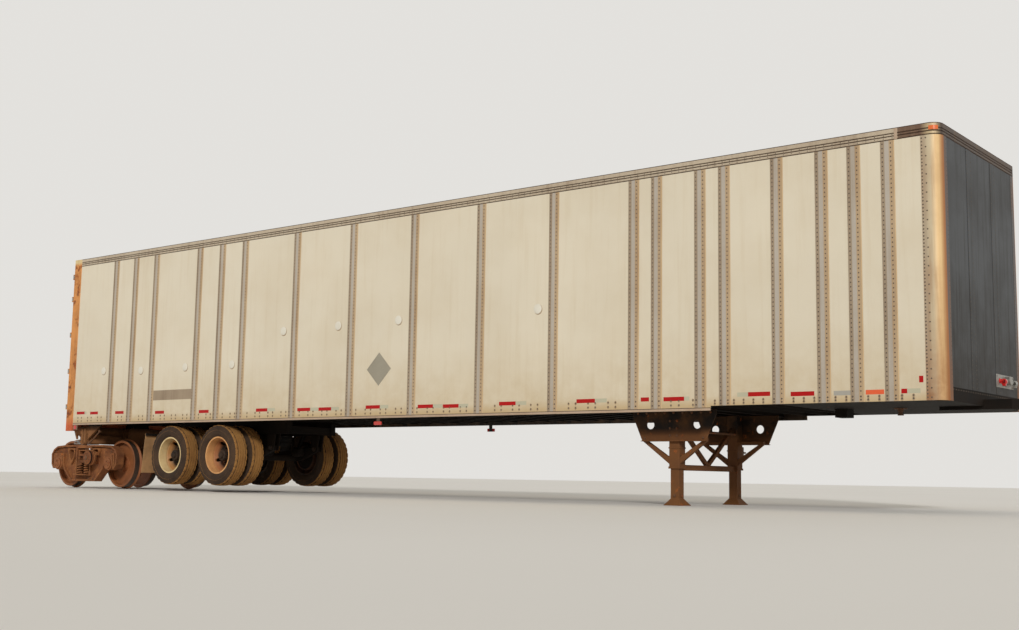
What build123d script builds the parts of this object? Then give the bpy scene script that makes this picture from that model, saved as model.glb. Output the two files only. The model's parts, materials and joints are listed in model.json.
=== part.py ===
from build123d import *

import os

# Bimodal road-rail van trailer, parked on its two-axle rail bogie and its landing legs.
# Millimetres. +X runs to the nose, +Y to the left side, +Z up, and the floor is z = 0.
# Places along the vehicle are distances from the rear face of the body, turned into X by at().

# Body
BODY_LENGTH = 16154
# The walls stand inside the rear frame by the height of their rivet heads
FRAME_HALF_WIDTH = 1295.5
HALF_WIDTH = 1291.5
WALL_BOTTOM = 1165
WALL_TOP = 4037
RAIL_TOP = 4172
POST_THICKNESS = 3
PANEL_THICKNESS = 10
CORNER_RADIUS = 130
CORNER_FLANGE = 80
ROOF_CROWN = 12
ROOF_THICKNESS = 3
PANEL_OUT = HALF_WIDTH - POST_THICKNESS
PANEL_IN = PANEL_OUT - PANEL_THICKNESS
NOSE_PANEL = BODY_LENGTH - POST_THICKNESS
CORNER_START = BODY_LENGTH - CORNER_RADIUS
CORNER_Y = HALF_WIDTH - CORNER_RADIUS

# Floor and underframe
FLOOR_BOTTOM = 1275
FLOOR_THICKNESS = 35
FLOOR_TOP = FLOOR_BOTTOM + FLOOR_THICKNESS
BEAM_DEPTH = 102
BEAM_PITCH = 305
BASE_RAIL_THICKNESS = 8
BASE_RAIL_IN = PANEL_IN - BASE_RAIL_THICKNESS
BASE_RAIL_BOTTOM = 1130
COUPLER_START = 13360
# From the coupler to the nose the walls end higher, level with the coupler's bottom plate
COUPLER_BOTTOM = 1185
KINGPIN_PLACE = 15150
KINGPIN_RADIUS = 25.4

# Rear frame and doors
REAR_POST_LENGTH = 212
REAR_POST_WIDTH = 50
REAR_POST_BOTTOM = 1025
SILL_BOTTOM = 1105
HEADER_BOTTOM = 4000
DOOR_THICKNESS = 25
DOOR_FACE = 12
DOOR_GAP = 8
HINGE_BACK = 38
HINGE_Y = 1279
HINGE_HEIGHTS = (1465, 2115, 2785, 3445, 3860)
LOCK_ROD_PLACES = (480, 1010)

# Couplings between vehicles
TONGUE_REACH = 420
TONGUE_WIDTH = 240
TONGUE_BOTTOM = 1145
TONGUE_HEIGHT = 110
TONGUE_PIN_RADIUS = 32
POCKET_WIDTH = 270
POCKET_BOTTOM = 1135
POCKET_TOP = 1265
POCKET_DEPTH = 450

# Road running gear, raised
ROAD_AXLES = (3020, 4265)
ROAD_AXLE_Z = 595
TYRE_RADIUS = 490
TYRE_WIDTH = 285
# Distance from the centreline to the face that both wheels of a pair are bolted to
TWIN_CENTRE = 951
TWIN_HALF_SPACING = 171.5
RIM_SEAT = 286

# Landing gear
LEG_PLACE = 12575
LEG_Y = 737
UPPER_LEG = 150
LOWER_LEG = 117
UPPER_LEG_BOTTOM = 460

# Rail bogie
BOGIE_CENTRE = 285
HALF_WHEELBASE = 785
TREAD_RADIUS = 419
FLANGE_RADIUS = 445
RAIL_AXLE_Z = FLANGE_RADIUS
SIDE_FRAME_Y = 1003.5
SIDE_FRAME_TOP = 775
BOLSTER_TOP = 745

REAR_TIP = BOGIE_CENTRE - HALF_WHEELBASE - FLANGE_RADIUS
FRONT_TIP = BODY_LENGTH + TONGUE_REACH
ORIGIN = (FRONT_TIP + REAR_TIP) / 2

SIDES = (("right", -1), ("left", 1))


def at(distance):
    """X of a place given as its distance from the rear face of the body."""
    return distance - ORIGIN


def save(piece, name):
    """Label a finished piece and write it to its own STEP file."""
    piece.part.label = name
    export_step(piece.part, f"parts/{name}.step")


os.makedirs("parts", exist_ok=True)

# Floor deck, from the rear sill to the nose
DECK_START = REAR_POST_LENGTH
DECK_END = BODY_LENGTH - POST_THICKNESS - PANEL_THICKNESS
with BuildPart() as floor_deck:
    with BuildSketch(Plane.XY.offset(FLOOR_BOTTOM)):
        with Locations((at((DECK_START + CORNER_START) / 2), 0)):
            Rectangle(CORNER_START - DECK_START, 2 * BASE_RAIL_IN)
        with Locations((at((CORNER_START + DECK_END) / 2), 0)):
            Rectangle(DECK_END - CORNER_START, 2 * CORNER_Y)
        with Locations((at(CORNER_START), -CORNER_Y), (at(CORNER_START), CORNER_Y)):
            Circle(BASE_RAIL_IN - CORNER_Y)
    extrude(amount=FLOOR_THICKNESS)
save(floor_deck, "floor_deck")

# Crossmembers: I-beams under the floor, between the base rails
FIRST_BEAM = 520
BEAM_COUNT = 42
BEAM_FLANGE = 60
BEAM_WEB = 6
with BuildPart() as crossmembers:
    with BuildSketch(Plane.XZ.offset(-BASE_RAIL_IN)):
        for number in range(BEAM_COUNT):
            beam_x = at(FIRST_BEAM + number * BEAM_PITCH)
            with Locations((beam_x, FLOOR_BOTTOM - BEAM_DEPTH / 2)):
                Rectangle(BEAM_WEB, BEAM_DEPTH)
            with Locations((beam_x, FLOOR_BOTTOM - 4), (beam_x, FLOOR_BOTTOM - BEAM_DEPTH + 4)):
                Rectangle(BEAM_FLANGE, 8)
    extrude(amount=2 * BASE_RAIL_IN)
save(crossmembers, "crossmembers")

# Side walls: composite panels with splice posts and base rails, one set for each side
# Centres of the splice posts, as distances from the rear face
POST_PLACES = (1319, 1904, 2491, 3679, 4259, 4836, 6076, 7318, 8559, 9800, 11041,
               12282, 12616, 13228, 13556, 14242, 14797, 15183, 15575)
POST_WIDTH = 160
BAND_START = 2571
BAND_END = 3599
BAND_BOTTOM = WALL_BOTTOM + 353
BAND_TOP = WALL_BOTTOM + 518
TAB_PLACE = 287
TAB_LENGTH = 126
TAB_BOTTOM = 1046
TAB_THICKNESS = 6
TAB_Y = HALF_WIDTH - 14
SIDE_LAMP_PLACE = 7916
SIDE_LAMP_Z = 1056
SIDE_LAMP_LENGTH = 150
SIDE_LAMP_HEIGHT = 50
LAMP_BRACKET_WIDTH = 60
LAMP_BRACKET_THICKNESS = 10
LAMP_BRACKET_BOTTOM = SIDE_LAMP_Z - SIDE_LAMP_HEIGHT / 2
for side, sign in SIDES:
    with BuildPart() as side_panel:
        with BuildSketch(Plane.XZ.offset(-sign * PANEL_IN)):
            with BuildLine():
                Polyline((at(REAR_POST_LENGTH), WALL_BOTTOM), (at(COUPLER_START), WALL_BOTTOM),
                         (at(COUPLER_START), COUPLER_BOTTOM), (at(CORNER_START), COUPLER_BOTTOM),
                         (at(CORNER_START), WALL_TOP), (at(REAR_POST_LENGTH), WALL_TOP), close=True)
            make_face()
        extrude(amount=-sign * PANEL_THICKNESS)
    save(side_panel, f"side_panel_{side}")

    with BuildPart() as splice_posts:
        with BuildSketch(Plane.XZ.offset(-sign * PANEL_OUT)):
            for place in POST_PLACES:
                foot = WALL_BOTTOM if place < COUPLER_START else COUPLER_BOTTOM
                with Locations((at(place), (foot + WALL_TOP) / 2)):
                    Rectangle(POST_WIDTH, WALL_TOP - foot)
            with Locations((at((BAND_START + BAND_END) / 2), (BAND_BOTTOM + BAND_TOP) / 2)):
                Rectangle(BAND_END - BAND_START, BAND_TOP - BAND_BOTTOM)
        extrude(amount=-sign * POST_THICKNESS)
    save(splice_posts, f"splice_posts_{side}")

    with BuildPart() as base_rail:
        with BuildSketch(Plane.YZ.offset(at(REAR_POST_LENGTH))):
            with BuildLine():
                Polyline((sign * PANEL_IN, WALL_BOTTOM), (sign * PANEL_IN, FLOOR_TOP + 20),
                         (sign * BASE_RAIL_IN, FLOOR_TOP), (sign * BASE_RAIL_IN, BASE_RAIL_BOTTOM),
                         (sign * HALF_WIDTH, BASE_RAIL_BOTTOM), (sign * HALF_WIDTH, WALL_BOTTOM),
                         close=True)
            make_face()
        extrude(amount=COUPLER_START - REAR_POST_LENGTH)
        with BuildSketch(Plane.YZ.offset(at(COUPLER_START))):
            with BuildLine():
                Polyline((sign * PANEL_IN, COUPLER_BOTTOM), (sign * PANEL_IN, FLOOR_TOP + 20),
                         (sign * BASE_RAIL_IN, FLOOR_TOP), (sign * BASE_RAIL_IN, COUPLER_BOTTOM),
                         close=True)
            make_face()
        extrude(amount=CORNER_START - COUPLER_START)
        # Tab that carries the rear side lamp
        with BuildSketch(Plane.XZ.offset(-sign * TAB_Y)):
            with Locations((at(TAB_PLACE), (TAB_BOTTOM + BASE_RAIL_BOTTOM) / 2)):
                Rectangle(TAB_LENGTH, BASE_RAIL_BOTTOM - TAB_BOTTOM)
        extrude(amount=-sign * TAB_THICKNESS)
        # Bracket of the lamp halfway along the side
        with BuildSketch(Plane.XZ.offset(-sign * BASE_RAIL_IN)):
            with Locations((at(SIDE_LAMP_PLACE), (BASE_RAIL_BOTTOM + LAMP_BRACKET_BOTTOM) / 2)):
                Rectangle(LAMP_BRACKET_WIDTH, BASE_RAIL_BOTTOM - LAMP_BRACKET_BOTTOM)
        extrude(amount=-sign * LAMP_BRACKET_THICKNESS)
    save(base_rail, f"base_rail_{side}")

# Top rails: one grooved extrusion along each side and, with its two round corners, across the nose
# Columns: distance inside the outer face, height
RAIL_PROFILE = ((6, WALL_TOP), (6, WALL_TOP + 10), (0, WALL_TOP + 14), (0, WALL_TOP + 36),
                (6, WALL_TOP + 40), (6, WALL_TOP + 48), (0, WALL_TOP + 52), (0, WALL_TOP + 66),
                (6, WALL_TOP + 70), (6, WALL_TOP + 78), (0, WALL_TOP + 82), (0, RAIL_TOP - 10),
                (10, RAIL_TOP), (55, RAIL_TOP), (55, RAIL_TOP - 6), (20, RAIL_TOP - 6),
                (20, WALL_TOP - 45), (13, WALL_TOP - 45), (13, WALL_TOP))
for side, sign in SIDES:
    with BuildPart() as top_rail:
        with BuildSketch(Plane.YZ.offset(at(REAR_POST_LENGTH))):
            with BuildLine():
                Polyline([(sign * (HALF_WIDTH - inward), height) for inward, height in RAIL_PROFILE],
                         close=True)
            make_face()
        extrude(amount=CORNER_START - REAR_POST_LENGTH)
    save(top_rail, f"top_rail_{side}")

with BuildPart() as top_rail_front:
    with BuildSketch(Plane.XZ.offset(-CORNER_Y)):
        with BuildLine():
            Polyline([(at(BODY_LENGTH - inward), height) for inward, height in RAIL_PROFILE],
                     close=True)
        make_face()
    extrude(amount=2 * CORNER_Y)
    for side, sign in SIDES:
        with BuildSketch(Plane.XZ.offset(-sign * CORNER_Y)):
            with BuildLine():
                Polyline([(at(BODY_LENGTH - inward), height) for inward, height in RAIL_PROFILE],
                         close=True)
            make_face()
        revolve(axis=Axis((at(CORNER_START), sign * CORNER_Y, 0), (0, 0, 1)),
                revolution_arc=sign * 90)
save(top_rail_front, "top_rail_front")

# Front corner posts: a quarter-round shell with a flange along the side and one on the nose
for side, sign in SIDES:
    with BuildPart() as corner_post:
        with BuildSketch(Plane.XY.offset(COUPLER_BOTTOM)):
            with Locations((at(CORNER_START), sign * CORNER_Y)):
                Circle(CORNER_RADIUS)
                Circle(CORNER_RADIUS - POST_THICKNESS - PANEL_THICKNESS, mode=Mode.SUBTRACT)
            with Locations((at(CORNER_START + 150), sign * (CORNER_Y + 150))):
                Rectangle(300, 300, mode=Mode.INTERSECT)
            with Locations((at(CORNER_START - CORNER_FLANGE / 2),
                            sign * (HALF_WIDTH - POST_THICKNESS / 2))):
                Rectangle(CORNER_FLANGE, POST_THICKNESS)
            with Locations((at(BODY_LENGTH - POST_THICKNESS / 2),
                            sign * (CORNER_Y - CORNER_FLANGE / 2))):
                Rectangle(POST_THICKNESS, CORNER_FLANGE)
        extrude(amount=WALL_TOP - COUPLER_BOTTOM)
    save(corner_post, f"corner_post_{side}")

# Nose: sill plate with the tongue's window, white sheet above it and two splice posts
FRONT_SILL_TOP = 1335
NOSE_POST_Y = 400
with BuildPart() as front_sill:
    with BuildSketch(Plane.YZ.offset(at(NOSE_PANEL - PANEL_THICKNESS))):
        with Locations((0, (COUPLER_BOTTOM + FRONT_SILL_TOP) / 2)):
            Rectangle(2 * CORNER_Y, FRONT_SILL_TOP - COUPLER_BOTTOM)
        with Locations((0, TONGUE_BOTTOM + TONGUE_HEIGHT / 2 - 5)):
            Rectangle(TONGUE_WIDTH, TONGUE_HEIGHT + 10, mode=Mode.SUBTRACT)
    extrude(amount=PANEL_THICKNESS)
save(front_sill, "front_sill")

with BuildPart() as front_wall:
    with BuildSketch(Plane.YZ.offset(at(NOSE_PANEL - PANEL_THICKNESS))):
        with Locations((0, (FRONT_SILL_TOP + WALL_TOP) / 2)):
            Rectangle(2 * CORNER_Y, WALL_TOP - FRONT_SILL_TOP)
    extrude(amount=PANEL_THICKNESS)
    with BuildSketch(Plane.YZ.offset(at(NOSE_PANEL))):
        with Locations((-NOSE_POST_Y, (FRONT_SILL_TOP + WALL_TOP) / 2),
                       (NOSE_POST_Y, (FRONT_SILL_TOP + WALL_TOP) / 2)):
            Rectangle(POST_WIDTH, WALL_TOP - FRONT_SILL_TOP)
    extrude(amount=POST_THICKNESS)
save(front_wall, "front_wall")

# Roof sheet with a slight crown, on the flat flanges of the rails
RAIL_FLANGE_IN = HALF_WIDTH - 55
ROOF_HALF_WIDTH = HALF_WIDTH - 12
ROOF_START = 20
ROOF_END = BODY_LENGTH - 30
with BuildPart() as roof_sheet:
    with BuildSketch(Plane.YZ.offset(at(ROOF_START))):
        with BuildLine():
            Line((-ROOF_HALF_WIDTH, RAIL_TOP), (-RAIL_FLANGE_IN, RAIL_TOP))
            ThreePointArc((-RAIL_FLANGE_IN, RAIL_TOP), (0, RAIL_TOP + ROOF_CROWN),
                          (RAIL_FLANGE_IN, RAIL_TOP))
            Polyline((RAIL_FLANGE_IN, RAIL_TOP), (ROOF_HALF_WIDTH, RAIL_TOP),
                     (ROOF_HALF_WIDTH, RAIL_TOP + ROOF_THICKNESS),
                     (RAIL_FLANGE_IN, RAIL_TOP + ROOF_THICKNESS))
            ThreePointArc((RAIL_FLANGE_IN, RAIL_TOP + ROOF_THICKNESS),
                          (0, RAIL_TOP + ROOF_CROWN + ROOF_THICKNESS),
                          (-RAIL_FLANGE_IN, RAIL_TOP + ROOF_THICKNESS))
            Polyline((-RAIL_FLANGE_IN, RAIL_TOP + ROOF_THICKNESS),
                     (-ROOF_HALF_WIDTH, RAIL_TOP + ROOF_THICKNESS), (-ROOF_HALF_WIDTH, RAIL_TOP))
        make_face()
    extrude(amount=ROOF_END - ROOF_START)
    fillet(roof_sheet.edges().filter_by(Axis.Z).group_by(Axis.X)[-1], CORNER_RADIUS - 30)
save(roof_sheet, "roof_sheet")

# Roof bows under the sheet, between the rails
FIRST_BOW = 500
BOW_PITCH = 610
BOW_COUNT = 26
BOW_WIDTH = 40
BOW_DEPTH = 30
with BuildPart() as roof_bows:
    for number in range(BOW_COUNT):
        with BuildSketch(Plane.YZ.offset(at(FIRST_BOW + number * BOW_PITCH))):
            with BuildLine():
                ThreePointArc((-RAIL_FLANGE_IN, RAIL_TOP), (0, RAIL_TOP + ROOF_CROWN),
                              (RAIL_FLANGE_IN, RAIL_TOP))
                Line((RAIL_FLANGE_IN, RAIL_TOP), (RAIL_FLANGE_IN, RAIL_TOP - BOW_DEPTH))
                ThreePointArc((RAIL_FLANGE_IN, RAIL_TOP - BOW_DEPTH),
                              (0, RAIL_TOP + ROOF_CROWN - BOW_DEPTH),
                              (-RAIL_FLANGE_IN, RAIL_TOP - BOW_DEPTH))
                Line((-RAIL_FLANGE_IN, RAIL_TOP - BOW_DEPTH), (-RAIL_FLANGE_IN, RAIL_TOP))
            make_face()
        extrude(amount=BOW_WIDTH)
save(roof_bows, "roof_bows")

# Rear frame posts, with the fixed hinge lugs
POST_INNER_Y = FRAME_HALF_WIDTH - REAR_POST_WIDTH
POST_MIDDLE_Y = FRAME_HALF_WIDTH - REAR_POST_WIDTH / 2
LUG_GAP = 62
LUG_THICKNESS = 14
LUG_RADIUS = 15
PIN_RADIUS = 8
with BuildPart() as rear_frame:
    with BuildSketch(Plane.XY.offset(REAR_POST_BOTTOM)):
        with Locations((at(REAR_POST_LENGTH / 2), POST_MIDDLE_Y),
                       (at(REAR_POST_LENGTH / 2), -POST_MIDDLE_Y)):
            RectangleRounded(REAR_POST_LENGTH, REAR_POST_WIDTH, 8)
    extrude(amount=RAIL_TOP - REAR_POST_BOTTOM)
    # Each hinge has a lug above and one below the strap, with the pin through both
    for hinge_z in HINGE_HEIGHTS:
        for side, sign in SIDES:
            for lug_z in (hinge_z - LUG_GAP / 2 - LUG_THICKNESS, hinge_z + LUG_GAP / 2):
                with BuildSketch(Plane.XY.offset(lug_z)):
                    with Locations((at(-HINGE_BACK), sign * HINGE_Y)):
                        Circle(LUG_RADIUS)
                    with Locations((at(-HINGE_BACK / 2), sign * HINGE_Y)):
                        Rectangle(HINGE_BACK, 2 * LUG_RADIUS)
                extrude(amount=LUG_THICKNESS)
            with BuildSketch(Plane.XY.offset(hinge_z - LUG_GAP / 2)):
                with Locations((at(-HINGE_BACK), sign * HINGE_Y)):
                    Circle(PIN_RADIUS)
            extrude(amount=LUG_GAP)
save(rear_frame, "rear_frame")

# Header over the doors, and the sill in two halves beside the coupling pocket
HEADER_LENGTH = 120
with BuildPart() as rear_header:
    with BuildSketch(Plane.XY.offset(HEADER_BOTTOM)):
        with Locations((at(HEADER_LENGTH / 2), 0)):
            Rectangle(HEADER_LENGTH, 2 * POST_INNER_Y)
    extrude(amount=RAIL_TOP - HEADER_BOTTOM)
save(rear_header, "rear_header")

POCKET_WALL = 25
POCKET_OUT = POCKET_WIDTH / 2 + POCKET_WALL
SILL_MIDDLE = (POST_INNER_Y + POCKET_OUT) / 2
with BuildPart() as rear_sill:
    with BuildSketch(Plane.XY.offset(SILL_BOTTOM)):
        with Locations((at(REAR_POST_LENGTH / 2), SILL_MIDDLE),
                       (at(REAR_POST_LENGTH / 2), -SILL_MIDDLE)):
            Rectangle(REAR_POST_LENGTH, POST_INNER_Y - POCKET_OUT)
    extrude(amount=FLOOR_TOP - SILL_BOTTOM)
save(rear_sill, "rear_sill")

# Pocket that takes the tongue of the vehicle behind
with BuildPart() as coupling_pocket:
    with BuildSketch(Plane.YZ.offset(at(0))):
        with Locations((0, (SILL_BOTTOM + FLOOR_TOP) / 2)):
            Rectangle(2 * POCKET_OUT, FLOOR_TOP - SILL_BOTTOM)
    extrude(amount=REAR_POST_LENGTH)
    with BuildSketch(Plane.YZ.offset(at(0))):
        with Locations((0, (SILL_BOTTOM + FLOOR_BOTTOM) / 2)):
            Rectangle(2 * POCKET_OUT, FLOOR_BOTTOM - SILL_BOTTOM)
    extrude(amount=POCKET_DEPTH + POCKET_WALL)
    with BuildSketch(Plane.YZ.offset(at(0))):
        with Locations((0, (POCKET_BOTTOM + POCKET_TOP) / 2)):
            Rectangle(POCKET_WIDTH, POCKET_TOP - POCKET_BOTTOM)
    extrude(amount=POCKET_DEPTH, mode=Mode.SUBTRACT)
save(coupling_pocket, "coupling_pocket")

# Doors: two swing leaves, each with hinge straps, two lock rods with guides, and handles
DOOR_BOTTOM = FLOOR_TOP + DOOR_GAP
DOOR_TOP = HEADER_BOTTOM - DOOR_GAP
DOOR_EDGE = POST_INNER_Y - DOOR_GAP
DOOR_MEET = 5
STRAP_HEIGHT = 60
GUIDE_BLOCK_WIDTH = 70
GUIDE_BLOCK_HEIGHT = 50
HANDLE_LENGTH = 420
HANDLE_HEIGHT = 32
HANDLE_THICKNESS = 9
# Plan of a hinge strap, columns: distance ahead of the pin, distance inboard of the pin
STRAP_PROFILE = ((4, 10), (20.5, 26), (20.5, 44), (40, 62), (40, 179), (50, 179), (50, 54),
                 (30.5, 40), (30.5, 20), (12, 2))
ROD_RADIUS = 14
ROD_BACK = 6
GUIDE_HEIGHTS = (1420, 2060, 2860, 3640)
HANDLE_Z = 1820
for side, sign in SIDES:
    with BuildPart() as door:
        with BuildSketch(Plane.XY.offset(DOOR_BOTTOM)):
            with Locations((at(DOOR_FACE + DOOR_THICKNESS / 2), sign * (DOOR_MEET + DOOR_EDGE) / 2)):
                Rectangle(DOOR_THICKNESS, DOOR_EDGE - DOOR_MEET)
        extrude(amount=DOOR_TOP - DOOR_BOTTOM)
    save(door, f"door_{side}")

    with BuildPart() as door_hardware:
        for hinge_z in HINGE_HEIGHTS:
            with BuildSketch(Plane.XY.offset(hinge_z - STRAP_HEIGHT / 2)):
                with BuildLine():
                    Polyline([(at(ahead - HINGE_BACK), sign * (HINGE_Y - inboard))
                              for ahead, inboard in STRAP_PROFILE], close=True)
                make_face()
                with Locations((at(-HINGE_BACK), sign * HINGE_Y)):
                    Circle(LUG_RADIUS)
                    Circle(PIN_RADIUS + 0.5, mode=Mode.SUBTRACT)
            extrude(amount=STRAP_HEIGHT)
        for rod_y in LOCK_ROD_PLACES:
            with BuildSketch(Plane.XY.offset(DOOR_BOTTOM)):
                with Locations((at(-ROD_BACK), sign * rod_y)):
                    Circle(ROD_RADIUS)
            extrude(amount=DOOR_TOP - DOOR_BOTTOM)
            for guide_z in GUIDE_HEIGHTS:
                with BuildSketch(Plane.XY.offset(guide_z)):
                    with Locations((at(-5), sign * rod_y)):
                        Rectangle(2 * (DOOR_FACE + 5), GUIDE_BLOCK_WIDTH)
                extrude(amount=GUIDE_BLOCK_HEIGHT)
            with BuildSketch(Plane.XY.offset(HANDLE_Z)):
                with Locations((at(-ROD_BACK - 16), sign * (rod_y - 190))):
                    Rectangle(HANDLE_THICKNESS, HANDLE_LENGTH)
            extrude(amount=HANDLE_HEIGHT)
    save(door_hardware, f"door_hardware_{side}")

# Upper coupler: side sills, ribs and bottom plate around the tunnel that holds the tongue
COUPLER_SIDE = 60
COUPLER_HALF_WIDTH = BASE_RAIL_IN
COUPLER_PLATE_START = 14200
RIB_PLACES = (13370, 13700, 14000, 14300, 14600, 14900, 15240, 15560, 15850)
TUNNEL_START = 15650
GUIDE_PLACE = 14455
GUIDE_DEPTH = 100
GUIDE_LENGTH = 150
GUIDE_WIDTH = 220
COUPLER_END = NOSE_PANEL - PANEL_THICKNESS
with BuildPart() as upper_coupler:
    for side, sign in SIDES:
        with BuildSketch(Plane.YZ.offset(at(COUPLER_START))):
            with Locations((sign * (COUPLER_HALF_WIDTH - COUPLER_SIDE / 2),
                            (COUPLER_BOTTOM + FLOOR_BOTTOM) / 2)):
                Rectangle(COUPLER_SIDE, FLOOR_BOTTOM - COUPLER_BOTTOM)
        extrude(amount=CORNER_START - COUPLER_START)
    with BuildSketch(Plane.XZ.offset(-COUPLER_HALF_WIDTH + COUPLER_SIDE)):
        for place in RIB_PLACES:
            with Locations((at(place), (COUPLER_BOTTOM + FLOOR_BOTTOM) / 2)):
                Rectangle(12, FLOOR_BOTTOM - COUPLER_BOTTOM)
    extrude(amount=2 * (COUPLER_HALF_WIDTH - COUPLER_SIDE))
    with BuildSketch(Plane.XY.offset(COUPLER_BOTTOM)):
        with Locations((at((COUPLER_PLATE_START + CORNER_START) / 2), 0)):
            Rectangle(CORNER_START - COUPLER_PLATE_START, 2 * (COUPLER_HALF_WIDTH - COUPLER_SIDE))
        with Locations((at((CORNER_START + COUPLER_END) / 2), 0)):
            Rectangle(COUPLER_END - CORNER_START, 2 * CORNER_Y)
    extrude(amount=8)
    # Guide block under the plate, behind the kingpin
    with BuildSketch(Plane.XY.offset(COUPLER_BOTTOM - GUIDE_DEPTH)):
        with Locations((at(GUIDE_PLACE), 0)):
            RectangleRounded(GUIDE_LENGTH, GUIDE_WIDTH, 12)
    extrude(amount=GUIDE_DEPTH)
    with BuildSketch(Plane.YZ.offset(at(TUNNEL_START))):
        with Locations((0, (COUPLER_BOTTOM + FLOOR_BOTTOM) / 2)):
            Rectangle(TONGUE_WIDTH, FLOOR_BOTTOM - COUPLER_BOTTOM)
    extrude(amount=COUPLER_END - TUNNEL_START, mode=Mode.SUBTRACT)
save(upper_coupler, "upper_coupler")

# Kingpin under the coupler plate: shoulder, neck and bottom collar
with BuildPart() as kingpin:
    with BuildSketch(Plane.XZ):
        with BuildLine():
            Polyline((0, COUPLER_BOTTOM), (75, COUPLER_BOTTOM), (75, COUPLER_BOTTOM - 10),
                     (36.5, COUPLER_BOTTOM - 10), (36.5, COUPLER_BOTTOM - 35),
                     (KINGPIN_RADIUS, COUPLER_BOTTOM - 37), (KINGPIN_RADIUS, COUPLER_BOTTOM - 70),
                     (35.7, COUPLER_BOTTOM - 72), (35.7, COUPLER_BOTTOM - 84),
                     (0, COUPLER_BOTTOM - 84), close=True)
        make_face()
    revolve(axis=Axis.Z)
kingpin.part = Pos(at(KINGPIN_PLACE), 0, 0) * kingpin.part
save(kingpin, "kingpin")

# Tongue that slides into the pocket of the vehicle ahead, with its lock-pin bore
TONGUE_TAPER = 120
PIN_FROM_TIP = 110
with BuildPart() as nose_tongue:
    with BuildSketch(Plane.XY.offset(TONGUE_BOTTOM)):
        with BuildLine():
            Polyline((at(TUNNEL_START), -TONGUE_WIDTH / 2),
                     (at(FRONT_TIP - TONGUE_TAPER), -TONGUE_WIDTH / 2),
                     (at(FRONT_TIP), -TONGUE_WIDTH / 4), (at(FRONT_TIP), TONGUE_WIDTH / 4),
                     (at(FRONT_TIP - TONGUE_TAPER), TONGUE_WIDTH / 2),
                     (at(TUNNEL_START), TONGUE_WIDTH / 2), close=True)
        make_face()
        with Locations((at(FRONT_TIP - PIN_FROM_TIP), 0)):
            Circle(TONGUE_PIN_RADIUS, mode=Mode.SUBTRACT)
    extrude(amount=TONGUE_HEIGHT)
save(nose_tongue, "nose_tongue")

# Landing gear: bracket plates, square legs, feet let down to the floor, and braces
BRACKET_Y = LEG_Y + UPPER_LEG / 2
BRACKET_THICKNESS = 12
BRACKET_BOTTOM = 788
BRACKET_FOOT_HALF = 455
BRACKET_TOP_HALF = 600
BRACKET_HOLE_PLACE = 335
BRACKET_HOLE_Z = 995
BRACKET_HOLE_RADIUS = 55
BRACKET_TOP = FLOOR_BOTTOM - BEAM_DEPTH
with BuildPart() as landing_brackets:
    with BuildSketch(Plane.XZ.offset(BRACKET_Y)):
        with BuildLine():
            Polyline((at(LEG_PLACE - BRACKET_TOP_HALF), BRACKET_TOP),
                     (at(LEG_PLACE - BRACKET_TOP_HALF), BRACKET_TOP - 60),
                     (at(LEG_PLACE - BRACKET_FOOT_HALF), BRACKET_BOTTOM),
                     (at(LEG_PLACE + BRACKET_FOOT_HALF), BRACKET_BOTTOM),
                     (at(LEG_PLACE + BRACKET_TOP_HALF), BRACKET_TOP - 60),
                     (at(LEG_PLACE + BRACKET_TOP_HALF), BRACKET_TOP), close=True)
        make_face()
        with Locations((at(LEG_PLACE - BRACKET_HOLE_PLACE), BRACKET_HOLE_Z),
                       (at(LEG_PLACE + BRACKET_HOLE_PLACE), BRACKET_HOLE_Z)):
            Circle(BRACKET_HOLE_RADIUS, mode=Mode.SUBTRACT)
    extrude(amount=BRACKET_THICKNESS)
    with BuildSketch(Plane.XY.offset(BRACKET_BOTTOM)):
        with Locations((at(LEG_PLACE), -BRACKET_Y - BRACKET_THICKNESS - 20)):
            Rectangle(2 * BRACKET_FOOT_HALF, 40)
    extrude(amount=10)
    mirror(about=Plane.XZ)
save(landing_brackets, "landing_brackets")

with BuildPart() as landing_legs:
    with BuildSketch(Plane.XY.offset(UPPER_LEG_BOTTOM)):
        with Locations((at(LEG_PLACE), -LEG_Y), (at(LEG_PLACE), LEG_Y)):
            RectangleRounded(UPPER_LEG, UPPER_LEG, 12)
    extrude(amount=BRACKET_TOP - UPPER_LEG_BOTTOM)
save(landing_legs, "landing_legs")

SHOE_SIZE = 250
SHOE_PLATE = 12
SHOE_HEIGHT = 85
with BuildPart() as landing_feet:
    for side, sign in SIDES:
        with BuildSketch(Plane.XY):
            with Locations((at(LEG_PLACE), sign * LEG_Y)):
                RectangleRounded(SHOE_SIZE, SHOE_SIZE, 15)
        extrude(amount=SHOE_PLATE)
        with BuildSketch(Plane.XY.offset(SHOE_PLATE)):
            with Locations((at(LEG_PLACE), sign * LEG_Y)):
                Rectangle(SHOE_SIZE - 20, SHOE_SIZE - 20)
        with BuildSketch(Plane.XY.offset(SHOE_HEIGHT)):
            with Locations((at(LEG_PLACE), sign * LEG_Y)):
                Rectangle(LOWER_LEG, LOWER_LEG)
        loft()
        with BuildSketch(Plane.XY.offset(SHOE_HEIGHT)):
            with Locations((at(LEG_PLACE), sign * LEG_Y)):
                Rectangle(LOWER_LEG, LOWER_LEG)
        extrude(amount=UPPER_LEG_BOTTOM - SHOE_HEIGHT)
save(landing_feet, "landing_feet")

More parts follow.
